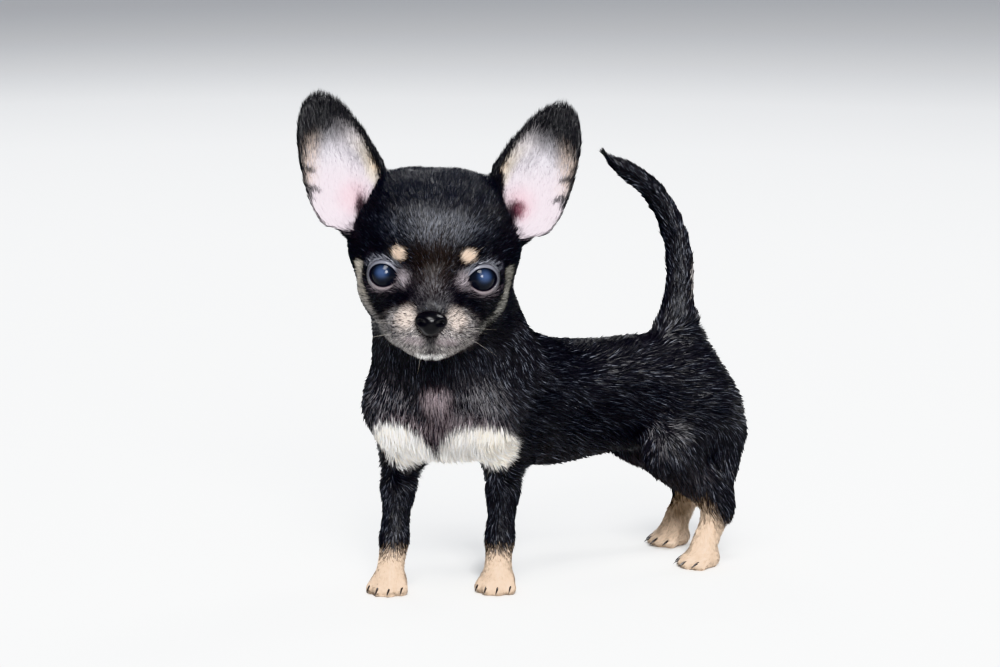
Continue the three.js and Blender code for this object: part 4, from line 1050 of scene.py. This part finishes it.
claw_material = new_material("dark horn", {
    **WET,
    "Base Color": (0.022, 0.018, 0.017, 1),
    "Roughness": 0.35,
    "Coat Weight": 0.3,
})[0]
for foot_name, (foot_axes, foot_ahead, foot_left) in FEET.items():
    claws = bmesh.new()
    for toe_left, toe_ahead in TOES:
        root_spot = Vector((foot_ahead + toe_ahead + CLAW_ROOT[0], foot_left + 1.1 * toe_left, CLAW_ROOT[1]))
        rings = []
        for ring_number in range(CLAW_RINGS):
            along = ring_number / (CLAW_RINGS - 1)
            middle = root_spot + Vector((
                CLAW_LENGTH * along,
                CLAW_SPLAY * toe_left * along,
                -CLAW_DROP * along * along,
            ))
            radius = CLAW_RADIUS * (1 - along ** 1.6) + CLAW_TIP
            ring = []
            for corner_number in range(CLAW_SIDES):
                angle = 2 * math.pi * corner_number / CLAW_SIDES
                ring.append(claws.verts.new(middle + Vector((
                    0.0,
                    0.8 * radius * math.cos(angle),
                    radius * math.sin(angle),
                ))))
            rings.append(ring)
        tube(claws, rings)
    bmesh.ops.transform(claws, matrix=foot_axes, verts=claws.verts)
    bmesh.ops.recalc_face_normals(claws, faces=claws.faces)
    linked(f"claws_{foot_name}", claws, claw_material)


# Whiskers: stiff single hairs that sweep back from the lips, the brows and the chin.
WHISKER_ROOTS = [  # root in the head's axes on the left side, its way out, length
    ((0.0345, 0.0085, -0.0185), (0.15, 1.0, 0.05), 0.013),
    ((0.0325, 0.0105, -0.0200), (0.05, 1.0, -0.10), 0.015),
    ((0.0300, 0.0125, -0.0185), (-0.10, 1.0, 0.08), 0.016),
    ((0.0300, 0.0125, -0.0215), (-0.10, 1.0, -0.25), 0.014),
    ((0.0270, 0.0140, -0.0200), (-0.25, 1.0, 0.00), 0.015),
    ((0.0350, 0.0075, -0.0210), (0.30, 0.9, -0.25), 0.011),
    ((0.0240, 0.0130, 0.0095), (0.35, 0.5, 0.80), 0.009),
    ((0.0235, 0.0150, 0.0090), (0.30, 0.8, 0.70), 0.008),
    ((0.0320, 0.0035, -0.0305), (0.50, 0.3, -0.90), 0.007),
]
WHISKER_RADIUS = 0.00006
WHISKER_RINGS = 7
WHISKER_SUNK = 0.0008
PALE_WHISKERS = 0.45  # share of them
PALE_HORN = (0.45, 0.42, 0.38)
DARK_HORN = (0.012, 0.011, 0.012)
whisker_rng = np.random.default_rng(77)
whisker_material = coat_material("whisker", 0.35, 0.0)[0]
for side, word in ((1, "left"), (-1, "right")):
    whiskers = bmesh.new()
    whisker_tints = []
    for root_spot, way, length in WHISKER_ROOTS:
        length = length * whisker_rng.uniform(0.8, 1.15)
        heading = Vector(way).normalized() + Vector(whisker_rng.normal(size=3) * 0.10)
        heading = Vector((heading.x, heading.y * side, heading.z)).normalized()
        root_spot = Vector((root_spot[0], root_spot[1] * side, root_spot[2])) - WHISKER_SUNK * heading
        droop = Vector((-0.25, 0, -0.20 + 0.2 * whisker_rng.normal()))
        beside = heading.cross(Vector((0, 0, 1))).normalized()
        over = beside.cross(heading)
        whisker_colour = PALE_HORN if whisker_rng.random() < PALE_WHISKERS else DARK_HORN
        rings = []
        for ring_number in range(WHISKER_RINGS):
            along = ring_number / (WHISKER_RINGS - 1)
            middle = root_spot + length * (along * heading + along * along * 0.5 * droop)
            radius = WHISKER_RADIUS * (1 - 0.85 * along)
            ring = []
            for corner_number in range(3):
                angle = 2 * math.pi * corner_number / 3
                ring.append(whiskers.verts.new(
                    middle + radius * (math.cos(angle) * beside + math.sin(angle) * over)))
                whisker_tints.append(whisker_colour)
            rings.append(ring)
        tube(whiskers, rings)
    bmesh.ops.transform(whiskers, matrix=HEAD, verts=whiskers.verts)
    bmesh.ops.recalc_face_normals(whiskers, faces=whiskers.faces)
    whisker_piece = linked(f"whiskers_{word}", whiskers, whisker_material)
    tint(whisker_piece.data, "Coat", whisker_tints)
